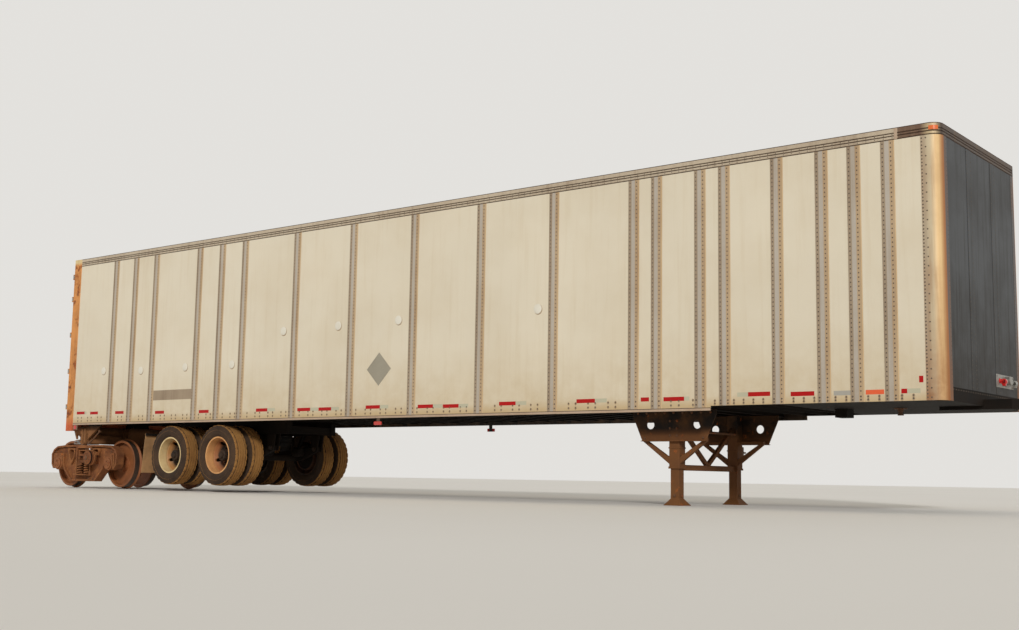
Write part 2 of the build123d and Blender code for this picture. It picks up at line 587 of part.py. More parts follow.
CROSS_TUBE_Z = 467
CROSS_TUBE = 70
BRACE_SIZE = 45
BRACE_TOP = 1010
BRACE_DEPTH = 60
WING_TOP_WIDTH = 70
WING_FOOT_Z = 510
WING_FOOT_DEPTH = 80
WING_FLANGE_LENGTH = 380
LEG_INNER_Y = LEG_Y - UPPER_LEG / 2
with BuildPart() as landing_braces:
    with BuildSketch(Plane.XZ.offset(-LEG_INNER_Y)):
        with Locations((at(LEG_PLACE), CROSS_TUBE_Z)):
            Rectangle(CROSS_TUBE, CROSS_TUBE)
    extrude(amount=2 * LEG_INNER_Y)
    # V-brace from the top of each leg down to the middle of the cross tube
    with BuildSketch(Plane.YZ.offset(at(LEG_PLACE) - BRACE_SIZE / 2)):
        with BuildLine():
            Polyline((-LEG_INNER_Y, BRACE_TOP), (-LEG_INNER_Y, BRACE_TOP - BRACE_DEPTH),
                     (-30, CROSS_TUBE_Z + 20), (30, CROSS_TUBE_Z + 20),
                     (LEG_INNER_Y, BRACE_TOP - BRACE_DEPTH), (LEG_INNER_Y, BRACE_TOP),
                     (0, CROSS_TUBE_Z + 60), close=True)
        make_face()
    extrude(amount=BRACE_SIZE)
    # Wings from the ends of each bracket down to its leg
    for side, sign in SIDES:
        with BuildSketch(Plane.XZ.offset(-sign * LEG_Y + BRACE_SIZE / 2)):
            for end in (-1, 1):
                with BuildLine():
                    Polyline((at(LEG_PLACE + end * BRACKET_FOOT_HALF), BRACKET_BOTTOM),
                             (at(LEG_PLACE + end * (BRACKET_FOOT_HALF - WING_TOP_WIDTH)), BRACKET_BOTTOM),
                             (at(LEG_PLACE + end * UPPER_LEG / 2), WING_FOOT_Z + WING_FOOT_DEPTH),
                             (at(LEG_PLACE + end * UPPER_LEG / 2), WING_FOOT_Z), close=True)
                make_face()
            with Locations((at(LEG_PLACE - 265), BRACKET_BOTTOM + 20),
                           (at(LEG_PLACE + 265), BRACKET_BOTTOM + 20)):
                Rectangle(WING_FLANGE_LENGTH, 40)
        extrude(amount=BRACE_SIZE)
save(landing_braces, "landing_braces")

# Crank on the left leg: gear box, folded handle, and the shaft that turns the other leg's screw
GEAR_BOX_Z = 690
CRANK_RADIUS = 12
CRANK_REACH = 140
CRANK_ARM = 210
CRANK_GRIP = 120
SHAFT_RADIUS = 16
SHAFT_AHEAD = 45
SHAFT_Z = 925
LEG_OUTER_Y = LEG_Y + UPPER_LEG / 2
CRANK_Y = LEG_OUTER_Y + 60 + CRANK_REACH
with BuildPart() as landing_crank:
    with BuildSketch(Plane.XZ.offset(-LEG_OUTER_Y)):
        with Locations((at(LEG_PLACE), GEAR_BOX_Z)):
            RectangleRounded(120, 150, 15)
    extrude(amount=-60)
    with BuildSketch(Plane.XZ.offset(-LEG_OUTER_Y - 60)):
        with Locations((at(LEG_PLACE), GEAR_BOX_Z)):
            Circle(CRANK_RADIUS)
    extrude(amount=-CRANK_REACH)
    with BuildSketch(Plane.XZ.offset(-CRANK_Y + CRANK_RADIUS)):
        with BuildLine():
            Line((at(LEG_PLACE), GEAR_BOX_Z), (at(LEG_PLACE - CRANK_ARM), GEAR_BOX_Z))
            offset(amount=CRANK_RADIUS)
        make_face()
    extrude(amount=-2 * CRANK_RADIUS)
    with BuildSketch(Plane.XZ.offset(-CRANK_Y - CRANK_RADIUS)):
        with Locations((at(LEG_PLACE - CRANK_ARM), GEAR_BOX_Z)):
            Circle(CRANK_RADIUS + 4)
    extrude(amount=-CRANK_GRIP)
    with BuildSketch(Plane.XZ.offset(-LEG_INNER_Y)):
        with Locations((at(LEG_PLACE + SHAFT_AHEAD), SHAFT_Z)):
            Circle(SHAFT_RADIUS)
    extrude(amount=2 * LEG_INNER_Y)
save(landing_crank, "landing_crank")

# Road suspension: frame rails, trailing arms with their hangers, air springs and axles
FRAME_RAIL_Y = 480
FRAME_RAIL_BOTTOM = 960
FRAME_START = 2300
FRAME_END = 5150
HANGER_BOTTOM = 690
HANGER_THICKNESS = 20
HANGER_OUT = 60
HANGER_IN = 40
with BuildPart() as suspension_frame:
    with BuildSketch(Plane.YZ.offset(at(FRAME_START))):
        for sign in (-1, 1):
            with Locations((sign * FRAME_RAIL_Y, (FRAME_RAIL_BOTTOM + BRACKET_TOP) / 2)):
                Rectangle(90, BRACKET_TOP - FRAME_RAIL_BOTTOM)
    extrude(amount=FRAME_END - FRAME_START)
    with BuildSketch(Plane.XZ.offset(-FRAME_RAIL_Y)):
        for place in (FRAME_START + 60, 3520, 4765, FRAME_END - 60):
            with Locations((at(place), FRAME_RAIL_BOTTOM + 70)):
                Rectangle(90, 110)
    extrude(amount=2 * FRAME_RAIL_Y)
    # Hangers that the arms pivot on, a plate on each side of each arm
    for axle in ROAD_AXLES:
        for plate_y in (FRAME_RAIL_Y + HANGER_OUT, FRAME_RAIL_Y - HANGER_IN,
                        HANGER_OUT - FRAME_RAIL_Y, -FRAME_RAIL_Y - HANGER_IN):
            with BuildSketch(Plane.XZ.offset(-plate_y)):
                with BuildLine():
                    Polyline((at(axle + 400), FRAME_RAIL_BOTTOM), (at(axle + 430), HANGER_BOTTOM),
                             (at(axle + 560), HANGER_BOTTOM), (at(axle + 600), FRAME_RAIL_BOTTOM),
                             close=True)
                make_face()
            extrude(amount=HANGER_THICKNESS)
save(suspension_frame, "suspension_frame")

ARM_WIDTH = 80
ARM_PIVOT = 495
ARM_PIVOT_Z = 735
SPRING_BACK = 300
SPRING_SEAT_Z = 700
AXLE_TUBE_RADIUS = 63.5
with BuildPart() as trailing_arms:
    for axle in ROAD_AXLES:
        with BuildSketch(Plane.XZ.offset(FRAME_RAIL_Y - ARM_WIDTH / 2)):
            with BuildLine():
                Polyline((at(axle + ARM_PIVOT + 40), ARM_PIVOT_Z + 40),
                         (at(axle + 90), ROAD_AXLE_Z + 110), (at(axle - 90), ROAD_AXLE_Z + 90),
                         (at(axle - 200), SPRING_SEAT_Z), (at(axle - 420), SPRING_SEAT_Z),
                         (at(axle - 420), SPRING_SEAT_Z - 40),
                         (at(axle - 110), ROAD_AXLE_Z - 60), (at(axle + 90), ROAD_AXLE_Z - 60),
                         (at(axle + ARM_PIVOT + 40), ARM_PIVOT_Z - 40), close=True)
            make_face()
            with Locations((at(axle), ROAD_AXLE_Z)):
                Circle(AXLE_TUBE_RADIUS, mode=Mode.SUBTRACT)
        extrude(amount=ARM_WIDTH)
    mirror(about=Plane.XZ)
save(trailing_arms, "trailing_arms")

with BuildPart() as air_springs:
    for axle in ROAD_AXLES:
        with BuildSketch(Plane(origin=(at(axle - SPRING_BACK), -FRAME_RAIL_Y, 0),
                               x_dir=(1, 0, 0), z_dir=(0, -1, 0))):
            with BuildLine():
                Line((0, SPRING_SEAT_Z), (95, SPRING_SEAT_Z))
                Line((95, SPRING_SEAT_Z), (85, SPRING_SEAT_Z + 80))
                ThreePointArc((85, SPRING_SEAT_Z + 80), (132, SPRING_SEAT_Z + 120),
                              (120, SPRING_SEAT_Z + 165))
                ThreePointArc((120, SPRING_SEAT_Z + 165), (134, SPRING_SEAT_Z + 205),
                              (115, SPRING_SEAT_Z + 245))
                Line((115, SPRING_SEAT_Z + 245), (115, FRAME_RAIL_BOTTOM))
                Line((115, FRAME_RAIL_BOTTOM), (0, FRAME_RAIL_BOTTOM))
                Line((0, FRAME_RAIL_BOTTOM), (0, SPRING_SEAT_Z))
            make_face()
        revolve(axis=Axis((at(axle - SPRING_BACK), -FRAME_RAIL_Y, 0), (0, 0, 1)))
    mirror(about=Plane.XZ)
save(air_springs, "air_springs")

HUB_BORE = 45.5
SPINDLE_RADIUS = 45
BEAM_END = TWIN_CENTRE - 302
SPINDLE_END = TWIN_CENTRE + 148
BACKING_PLATE_Y = TWIN_CENTRE - 274
BACKING_PLATE_RADIUS = 185
BACKING_PLATE_THICKNESS = 8
with BuildPart() as road_axles:
    for axle in ROAD_AXLES:
        with BuildSketch(Plane(origin=(at(axle), 0, ROAD_AXLE_Z), x_dir=(0, 1, 0), z_dir=(1, 0, 0))):
            with BuildLine():
                Polyline((0, 0), (0, AXLE_TUBE_RADIUS), (BEAM_END, AXLE_TUBE_RADIUS),
                         (BEAM_END, SPINDLE_RADIUS), (BACKING_PLATE_Y, SPINDLE_RADIUS),
                         (BACKING_PLATE_Y, BACKING_PLATE_RADIUS),
                         (BACKING_PLATE_Y + BACKING_PLATE_THICKNESS, BACKING_PLATE_RADIUS),
                         (BACKING_PLATE_Y + BACKING_PLATE_THICKNESS, SPINDLE_RADIUS),
                         (SPINDLE_END, SPINDLE_RADIUS), (SPINDLE_END, 0), close=True)
            make_face()
        revolve(axis=Axis((at(axle), 0, ROAD_AXLE_Z), (0, 1, 0)))
    mirror(about=Plane.XZ)
save(road_axles, "road_axles")

# Brake chambers ahead of each axle, on brackets from the axle tube
CHAMBER_Y = 330
CHAMBER_RADIUS = 78
with BuildPart() as brake_chambers:
    for axle in ROAD_AXLES:
        with BuildSketch(Plane(origin=(at(axle), -CHAMBER_Y, ROAD_AXLE_Z + 90), x_dir=(1, 0, 0),
                               z_dir=(0, -1, 0))):
            with BuildLine():
                Polyline((100, 0), (100, 60), (118, CHAMBER_RADIUS), (178, CHAMBER_RADIUS),
                         (178, CHAMBER_RADIUS + 8), (192, CHAMBER_RADIUS + 8),
                         (192, CHAMBER_RADIUS), (270, CHAMBER_RADIUS), (290, 60), (290, 0),
                         close=True)
            make_face()
        revolve(axis=Axis((at(axle), -CHAMBER_Y, ROAD_AXLE_Z + 90), (1, 0, 0)))
        with BuildSketch(Plane.XZ.offset(CHAMBER_Y - 40)):
            with BuildLine():
                Polyline((at(axle + 66), ROAD_AXLE_Z + 20), (at(axle + 100), ROAD_AXLE_Z + 30),
                         (at(axle + 100), ROAD_AXLE_Z + 150), (at(axle + 66), ROAD_AXLE_Z + 110),
                         close=True)
            make_face()
        extrude(amount=80)
    mirror(about=Plane.XZ)
save(brake_chambers, "brake_chambers")

# Mud flaps behind the road wheels, with the bar that carries them
FLAP_PLACE = 2350
FLAP_WIDTH = 600
FLAP_Y = 950
FLAP_BOTTOM = 295
FLAP_TOP = 960
FLAP_SWAY = 70
FLAP_THICKNESS = 8
with BuildPart() as mud_flaps:
    for middle in (-FLAP_Y, FLAP_Y):
        with BuildSketch(Plane.XZ.offset(-middle + FLAP_WIDTH / 2)):
            with BuildLine():
                Polyline((at(FLAP_PLACE), FLAP_TOP), (at(FLAP_PLACE + FLAP_THICKNESS), FLAP_TOP),
                         (at(FLAP_PLACE + FLAP_THICKNESS), FLAP_TOP - 40),
                         (at(FLAP_PLACE + FLAP_THICKNESS - FLAP_SWAY), FLAP_BOTTOM),
                         (at(FLAP_PLACE - FLAP_SWAY), FLAP_BOTTOM), (at(FLAP_PLACE), FLAP_TOP - 40),
                         close=True)
            make_face()
        extrude(amount=-FLAP_WIDTH)
save(mud_flaps, "mud_flaps")

with BuildPart() as flap_hangers:
    with BuildSketch(Plane.YZ.offset(at(FLAP_PLACE + FLAP_THICKNESS))):
        with Locations((0, FRAME_RAIL_BOTTOM - 20)):
            Rectangle(2 * (FLAP_Y + FLAP_WIDTH / 2), 40)
    extrude(amount=30)
save(flap_hangers, "flap_hangers")

# Twin road wheels: two tyres on two rims, bolted to a hub that carries the brake drum
TREAD_HALF = 88
SHOULDER = 117
BULGE_RADIUS = 388
# Rim barrel half section, columns: distance from the tyre's middle, radius
BARREL_PROFILE = ((-104, 300), (-96, 300), (-96, RIM_SEAT), (96, RIM_SEAT), (96, 300), (104, 300),
                  (104, RIM_SEAT - 8), (-104, RIM_SEAT - 8))
# Half section of the hub and brake drum, columns: distance outboard of the mounting face, radius
HUB_PROFILE = ((-247, HUB_BORE), (-247, 80), (-47, 95), (-47, 195), (-280, 195), (-280, 212),
               (-22, 212), (-10, 165), (-10, 112), (10, 112), (128, 88), (178, 84), (186, 70),
               (186, 0), (158, 0), (158, HUB_BORE))
HAND_HOLE_CIRCLE = 238
HAND_HOLE_RADIUS = 30
HAND_HOLE_COUNT = 5
for place, axle in (("rear", ROAD_AXLES[0]), ("front", ROAD_AXLES[1])):
    for side, sign in SIDES:
        wheel_axis = Axis((at(axle), 0, ROAD_AXLE_Z), (0, 1, 0))
        wheel_plane = Plane(origin=(at(axle), 0, ROAD_AXLE_Z), x_dir=(0, sign, 0), z_dir=(sign, 0, 0))
        with BuildPart() as road_tyres:
            for centre in (TWIN_CENTRE - TWIN_HALF_SPACING, TWIN_CENTRE + TWIN_HALF_SPACING):
                with BuildSketch(wheel_plane):
                    with BuildLine():
                        Polyline((centre - TREAD_HALF, TYRE_RADIUS - 4), (centre, TYRE_RADIUS),
                                 (centre + TREAD_HALF, TYRE_RADIUS - 4),
                                 (centre + SHOULDER, TYRE_RADIUS - 24))
                        ThreePointArc((centre + SHOULDER, TYRE_RADIUS - 24),
                                      (centre + TYRE_WIDTH / 2, BULGE_RADIUS), (centre + 108, 302))
                        Polyline((centre + 108, 302), (centre + 95.5, 301),
                                 (centre + 95.5, RIM_SEAT + 0.3), (centre - 95.5, RIM_SEAT + 0.3),
                                 (centre - 95.5, 301), (centre - 108, 302))
                        ThreePointArc((centre - 108, 302), (centre - TYRE_WIDTH / 2, BULGE_RADIUS),
                                      (centre - SHOULDER, TYRE_RADIUS - 24))
                        Line((centre - SHOULDER, TYRE_RADIUS - 24),
                             (centre - TREAD_HALF, TYRE_RADIUS - 4))
                    make_face()
                revolve(axis=wheel_axis)
        save(road_tyres, f"road_tyres_{place}_{side}")

        with BuildPart() as road_rims:
            for centre, disc_side in ((TWIN_CENTRE - TWIN_HALF_SPACING, 1),
                                      (TWIN_CENTRE + TWIN_HALF_SPACING, -1)):
                with BuildSketch(wheel_plane):
                    with BuildLine():
                        Polyline([(centre + across, radius) for across, radius in BARREL_PROFILE],
                                 close=True)
                    make_face()
                revolve(axis=wheel_axis)
                # Disc that curves from the barrel to the mounting face between the wheels
                with BuildSketch(wheel_plane):
                    with BuildLine():
                        Polyline((centre + disc_side * 40, RIM_SEAT - 4),
                                 (TWIN_CENTRE - disc_side * 10, 200),
                                 (TWIN_CENTRE - disc_side * 10, 110), (TWIN_CENTRE, 110),
                                 (TWIN_CENTRE, 205), (centre + disc_side * 66, RIM_SEAT - 4),
                                 close=True)
                    make_face()
                revolve(axis=wheel_axis)
            with BuildSketch(wheel_plane):
                with BuildLine():
                    Polyline([(TWIN_CENTRE + outboard, radius) for outboard, radius in HUB_PROFILE],
                             close=True)
                make_face()
            revolve(axis=wheel_axis)
            # Hand holes through both discs
            with BuildSketch(Plane(origin=(at(axle), sign * (TWIN_CENTRE + 130), ROAD_AXLE_Z),
                                   x_dir=(1, 0, 0), z_dir=(0, -sign, 0))):
                with PolarLocations(HAND_HOLE_CIRCLE, HAND_HOLE_COUNT, start_angle=90):
                    Circle(HAND_HOLE_RADIUS)
            extrude(amount=260, mode=Mode.SUBTRACT)
        save(road_rims, f"road_rims_{place}_{side}")

# Lamps: round stop lamps at the rear, small markers, and a round and a hung lamp on each side
STOP_LAMP_PLACES = (-1130, -1000, 1000, 1130)
STOP_LAMP_Z = 1200
STOP_LAMP_RADIUS = 52
STOP_LAMP_DEPTH = 12
MARKER_PLACES = (-1180, -180, 0, 180, 1180)
MARKER_Z = 4085
MARKER_LENGTH = 100
MARKER_HEIGHT = 34
MARKER_DEPTH = 14
TAB_LAMP_RADIUS = 38
SIDE_LAMP_BACK = BASE_RAIL_IN + LAMP_BRACKET_THICKNESS
with BuildPart() as lamps:
    with BuildSketch(Plane.YZ.offset(at(0))):
        with Locations([(across, STOP_LAMP_Z) for across in STOP_LAMP_PLACES]):
            Circle(STOP_LAMP_RADIUS)
    extrude(amount=-STOP_LAMP_DEPTH)
    with BuildSketch(Plane.YZ.offset(at(0))):
        with Locations([(across, MARKER_Z) for across in MARKER_PLACES]):
            Rectangle(MARKER_LENGTH, MARKER_HEIGHT)
    extrude(amount=-MARKER_DEPTH)
    for side, sign in SIDES:
        with BuildSketch(Plane.XZ.offset(-sign * SIDE_LAMP_BACK)):
            with Locations((at(SIDE_LAMP_PLACE), SIDE_LAMP_Z)):
                RectangleRounded(SIDE_LAMP_LENGTH, SIDE_LAMP_HEIGHT, 12)
        extrude(amount=-sign * (HALF_WIDTH - SIDE_LAMP_BACK))
        with BuildSketch(Plane.XZ.offset(-sign * (TAB_Y + TAB_THICKNESS))):
            with Locations((at(TAB_PLACE), (TAB_BOTTOM + BASE_RAIL_BOTTOM) / 2)):
                Circle(TAB_LAMP_RADIUS)
        extrude(amount=-sign * (HALF_WIDTH - TAB_Y - TAB_THICKNESS))
save(lamps, "lamps")

# Bogie adapter under the rear frame: saddle beam, uprights and the centre plate above the bogie
ADAPTER_BOTTOM = 800
ADAPTER_TOP = 920
ADAPTER_LENGTH = 360
ADAPTER_Y = 1050
ADAPTER_END_BOTTOM = 785
ADAPTER_STEP = 900
WEB_PLATE = 30
# Columns: distance from the rear face, width
ADAPTER_RIBS = ((325, 40), (405, 50))
ADAPTER_RIB_DEPTH = 110
GUSSET_THICKNESS = 40
GUSSET_START = 15
GUSSET_END = BOGIE_CENTRE + ADAPTER_LENGTH / 2 + 380
CENTRE_PLATE_RADIUS = 170
with BuildPart() as bogie_adapter:
    with BuildSketch(Plane.YZ.offset(at(BOGIE_CENTRE - ADAPTER_LENGTH / 2))):
        with BuildLine():
            Polyline((-ADAPTER_Y, ADAPTER_END_BOTTOM), (-ADAPTER_STEP, ADAPTER_END_BOTTOM),
                     (40 - ADAPTER_STEP, ADAPTER_BOTTOM), (ADAPTER_STEP - 40, ADAPTER_BOTTOM),
                     (ADAPTER_STEP, ADAPTER_END_BOTTOM), (ADAPTER_Y, ADAPTER_END_BOTTOM),
                     (ADAPTER_Y, ADAPTER_TOP), (ADAPTER_Y + 80, ADAPTER_TOP + 60),
                     (ADAPTER_Y + 80, SILL_BOTTOM), (ADAPTER_Y - 90, SILL_BOTTOM),
                     (ADAPTER_Y - 90, ADAPTER_TOP + 40), (300, ADAPTER_TOP),
                     (220, SILL_BOTTOM), (-220, SILL_BOTTOM), (-300, ADAPTER_TOP),
                     (90 - ADAPTER_Y, ADAPTER_TOP + 40), (90 - ADAPTER_Y, SILL_BOTTOM),
                     (-80 - ADAPTER_Y, SILL_BOTTOM), (-80 - ADAPTER_Y, ADAPTER_TOP + 60),
                     (-ADAPTER_Y, ADAPTER_TOP), close=True)
        make_face()
    extrude(amount=ADAPTER_LENGTH)
    # Web between the uprights, gussets behind and ahead of them, and ribs on their outer faces
    with BuildSketch(Plane.YZ.offset(at(BOGIE_CENTRE - WEB_PLATE / 2))):
        for sign in (-1, 1):
            with Locations((sign * ADAPTER_Y / 2, (ADAPTER_TOP + SILL_BOTTOM) / 2)):
                Rectangle(ADAPTER_Y - 100, SILL_BOTTOM - ADAPTER_TOP)
    extrude(amount=WEB_PLATE)
    for side, sign in SIDES:
        with BuildSketch(Plane.XZ.offset(-sign * (ADAPTER_Y + GUSSET_THICKNESS))):
            with BuildLine():
                Polyline((at(BOGIE_CENTRE - ADAPTER_LENGTH / 2), ADAPTER_TOP - 40),
                         (at(BOGIE_CENTRE - ADAPTER_LENGTH / 2), SILL_BOTTOM),
                         (at(GUSSET_START), SILL_BOTTOM), (at(GUSSET_START), SILL_BOTTOM - 50),
                         close=True)
            make_face()
            with BuildLine():
                Polyline((at(BOGIE_CENTRE + ADAPTER_LENGTH / 2), ADAPTER_TOP - 40),
                         (at(BOGIE_CENTRE + ADAPTER_LENGTH / 2), BRACKET_TOP),
                         (at(GUSSET_END), BRACKET_TOP), (at(GUSSET_END), BRACKET_TOP - 45),
                         close=True)
            make_face()
        extrude(amount=-sign * GUSSET_THICKNESS)
        with BuildSketch(Plane.XZ.offset(-sign * ADAPTER_Y)):
            for place, width in ADAPTER_RIBS:
                with Locations((at(place), (ADAPTER_END_BOTTOM + SILL_BOTTOM) / 2)):
                    Rectangle(width, SILL_BOTTOM - ADAPTER_END_BOTTOM - 60)
        extrude(amount=-sign * ADAPTER_RIB_DEPTH)
    with BuildSketch(Plane.XY.offset(BOLSTER_TOP - 18)):
        with Locations((at(BOGIE_CENTRE), 0)):
            Circle(CENTRE_PLATE_RADIUS)
    extrude(amount=ADAPTER_BOTTOM - BOLSTER_TOP + 18)
save(bogie_adapter, "bogie_adapter")

# Rail bogie side frames: a cast truss with deep rims round its outline and its windows
WEB_THICKNESS = 56
RIM_THICKNESS = 160
RIM_WIDTH = 30
WINDOW_RIM = 22
FRAME_CORNER = 18
WINDOW_CORNER = 40
JAW_HALF = 128
JAW_TOP = 600
SPRING_SEAT = 255
SEAT_THICKNESS = 22
SEAT_WIDTH = 290
BOLSTER_WINDOW = 203
BOLSTER_WINDOW_TOP = 718
# Front half of the outline, columns: distance from the bogie's centre, height
FRAME_HALF = ((590, SIDE_FRAME_TOP), (840, 757), (957, 700), (1025, 610), (1013, 430),
              (957, 350), (HALF_WHEELBASE + JAW_HALF, 350), (HALF_WHEELBASE + JAW_HALF, JAW_TOP),
              (HALF_WHEELBASE - JAW_HALF, JAW_TOP), (HALF_WHEELBASE - JAW_HALF, 430), (597, 330),
              (380, 125))
FRAME_OUTLINE = FRAME_HALF + tuple((-along, height) for along, height in reversed(FRAME_HALF))
# Corners of the front truss window, columns: distance from the bogie's centre, height
TRUSS_WINDOW = ((480, 694), (300, 694), (312, 560), (385, 456))


def elevation(outboard):
    """Plane that faces right, at a distance from the centreline, with its X zero at the bogie."""
    return Plane(origin=(at(BOGIE_CENTRE), -outboard, 0), x_dir=(1, 0, 0), z_dir=(0, -1, 0))


with BuildPart() as side_frame_right:
    with BuildSketch(elevation(SIDE_FRAME_Y - RIM_THICKNESS / 2)):
        with BuildLine():
            Polyline(FRAME_OUTLINE, close=True)
        make_face()
        fillet(vertices(), FRAME_CORNER)
    extrude(amount=RIM_THICKNESS)
    # Recess on each face, which leaves the web between the rims
    for recess_y in (SIDE_FRAME_Y - RIM_THICKNESS / 2, SIDE_FRAME_Y + WEB_THICKNESS / 2):
        with BuildSketch(elevation(recess_y)):
            with BuildLine():
                Polyline(FRAME_OUTLINE, close=True)
            make_face()
            offset(amount=-RIM_WIDTH, mode=Mode.REPLACE)
        extrude(amount=(RIM_THICKNESS - WEB_THICKNESS) / 2, mode=Mode.SUBTRACT)
    with BuildSketch(elevation(SIDE_FRAME_Y - RIM_THICKNESS / 2)):
        with Locations((0, (SPRING_SEAT + BOLSTER_WINDOW_TOP) / 2)):
            Rectangle(2 * (BOLSTER_WINDOW + RIM_WIDTH), BOLSTER_WINDOW_TOP - SPRING_SEAT + 2 * RIM_WIDTH)
    extrude(amount=RIM_THICKNESS)
    with BuildSketch(Plane.XY.offset(SPRING_SEAT - SEAT_THICKNESS)):
        with Locations((at(BOGIE_CENTRE), -SIDE_FRAME_Y)):
            Rectangle(2 * BOLSTER_WINDOW, SEAT_WIDTH)
    extrude(amount=SEAT_THICKNESS)
    for mirrored in (1, -1):
        with BuildSketch(elevation(SIDE_FRAME_Y - RIM_THICKNESS / 2)) as window:
            with BuildLine():
                Polyline([(mirrored * along, height) for along, height in TRUSS_WINDOW], close=True)
            make_face()
            offset(amount=WINDOW_RIM)
        extrude(amount=RIM_THICKNESS)
        with BuildSketch(elevation(SIDE_FRAME_Y - RIM_THICKNESS / 2)):
            with BuildLine():
                Polyline([(mirrored * along, height) for along, height in TRUSS_WINDOW], close=True)
            make_face()
            fillet(vertices(), WINDOW_CORNER)
        extrude(amount=RIM_THICKNESS, mode=Mode.SUBTRACT)
    with BuildSketch(elevation(SIDE_FRAME_Y - RIM_THICKNESS / 2)):
        with Locations((0, (SPRING_SEAT + BOLSTER_WINDOW_TOP) / 2)):
            Rectangle(2 * BOLSTER_WINDOW, BOLSTER_WINDOW_TOP - SPRING_SEAT)
    extrude(amount=RIM_THICKNESS, mode=Mode.SUBTRACT)
save(side_frame_right, "bogie_side_frame_right")

with BuildPart() as side_frame_left:
    mirror(side_frame_right.part, about=Plane.XZ)
save(side_frame_left, "bogie_side_frame_left")

# Bolster: a box beam across the bogie, through both side frames, with the centre bowl on top
BOLSTER_HALF = 185
BOLSTER_END = 1062
BOLSTER_END_BOTTOM = 455
BOLSTER_END_TOP = 690
END_WINDOW_DEPTH = 130
with BuildPart() as bogie_bolster:
    with BuildSketch(Plane.YZ.offset(at(BOGIE_CENTRE - BOLSTER_HALF))):
        with BuildLine():
            Polyline((-BOLSTER_END, BOLSTER_END_BOTTOM), (-840, BOLSTER_END_BOTTOM), (-500, 330),
                     (500, 330), (840, BOLSTER_END_BOTTOM), (BOLSTER_END, BOLSTER_END_BOTTOM),
                     (BOLSTER_END, BOLSTER_END_TOP), (700, BOLSTER_END_TOP), (400, 718),
                     (-400, 718), (-700, BOLSTER_END_TOP), (-BOLSTER_END, BOLSTER_END_TOP),
                     close=True)
        make_face()
    extrude(amount=2 * BOLSTER_HALF)
    with BuildSketch(Plane.XY.offset(718)):
        with Locations((at(BOGIE_CENTRE), 0)):
            Circle(CENTRE_PLATE_RADIUS + 14)
    extrude(amount=BOLSTER_TOP - 718)
    with BuildSketch(Plane.XY.offset(BOLSTER_TOP - 18.5)):
        with Locations((at(BOGIE_CENTRE), 0)):
            Circle(CENTRE_PLATE_RADIUS + 0.5)
    extrude(amount=18.5, mode=Mode.SUBTRACT)
    # Open ends: one wide window over two small ones
    for outboard in (-BOLSTER_END, BOLSTER_END - END_WINDOW_DEPTH):
        with BuildSketch(Plane.XZ.offset(-outboard - END_WINDOW_DEPTH)):
            with Locations((at(BOGIE_CENTRE), 640)):
                Rectangle(320, 60)
            with Locations((at(BOGIE_CENTRE - 85), 535), (at(BOGIE_CENTRE + 85), 535)):
                Rectangle(140, 80)
        extrude(amount=END_WINDOW_DEPTH, mode=Mode.SUBTRACT)
save(bogie_bolster, "bogie_bolster")

# Coil springs between the side frames' seats and the bolster, one corrugated column each
SPRING_RADIUS = 60
SPRING_COILS = 6
SPRING_HEIGHT = BOLSTER_END_BOTTOM - SPRING_SEAT
COIL_PITCH = SPRING_HEIGHT / SPRING_COILS
with BuildPart() as bogie_springs:
    for along in (-115, 115):
        for across in (SIDE_FRAME_Y - 62, SIDE_FRAME_Y + 62):
            spring_x = at(BOGIE_CENTRE + along)
            with BuildSketch(Plane(origin=(spring_x, -across, 0), x_dir=(1, 0, 0),
                                   z_dir=(0, -1, 0))):
                with BuildLine():
                    Polyline((SPRING_RADIUS - 14, SPRING_SEAT), (0, SPRING_SEAT),
                             (0, BOLSTER_END_BOTTOM), (SPRING_RADIUS - 14, BOLSTER_END_BOTTOM))
                    for coil in range(SPRING_COILS):
                        coil_z = SPRING_SEAT + coil * COIL_PITCH
                        ThreePointArc((SPRING_RADIUS - 14, coil_z),
                                      (SPRING_RADIUS, coil_z + COIL_PITCH / 2),
                                      (SPRING_RADIUS - 14, coil_z + COIL_PITCH))
                make_face()
            revolve(axis=Axis((spring_x, -across, 0), (0, 0, 1)))
    mirror(about=Plane.XZ)
save(bogie_springs, "bogie_springs")

# Bearings: a cup round each journal, under the adapter that the side frame sits on
JOURNAL_RADIUS = 80
CUP_RADIUS = 115
CUP_START = 915
CUP_END = 1090
with BuildPart() as bogie_bearings:
    with BuildSketch(elevation(CUP_START)):
        for along in (-HALF_WHEELBASE, HALF_WHEELBASE):
            with Locations((along, RAIL_AXLE_Z)):
                Circle(CUP_RADIUS)
            with Locations((along, (JAW_TOP + RAIL_AXLE_Z + 60) / 2)):
                Rectangle(2 * (JAW_HALF - FRAME_CORNER), JAW_TOP - RAIL_AXLE_Z - 60)
            with Locations((along, RAIL_AXLE_Z)):
                Circle(JOURNAL_RADIUS + 0.5, mode=Mode.SUBTRACT)
    extrude(amount=CUP_END - CUP_START)
    mirror(about=Plane.XZ)
save(bogie_bearings, "bogie_bearings")

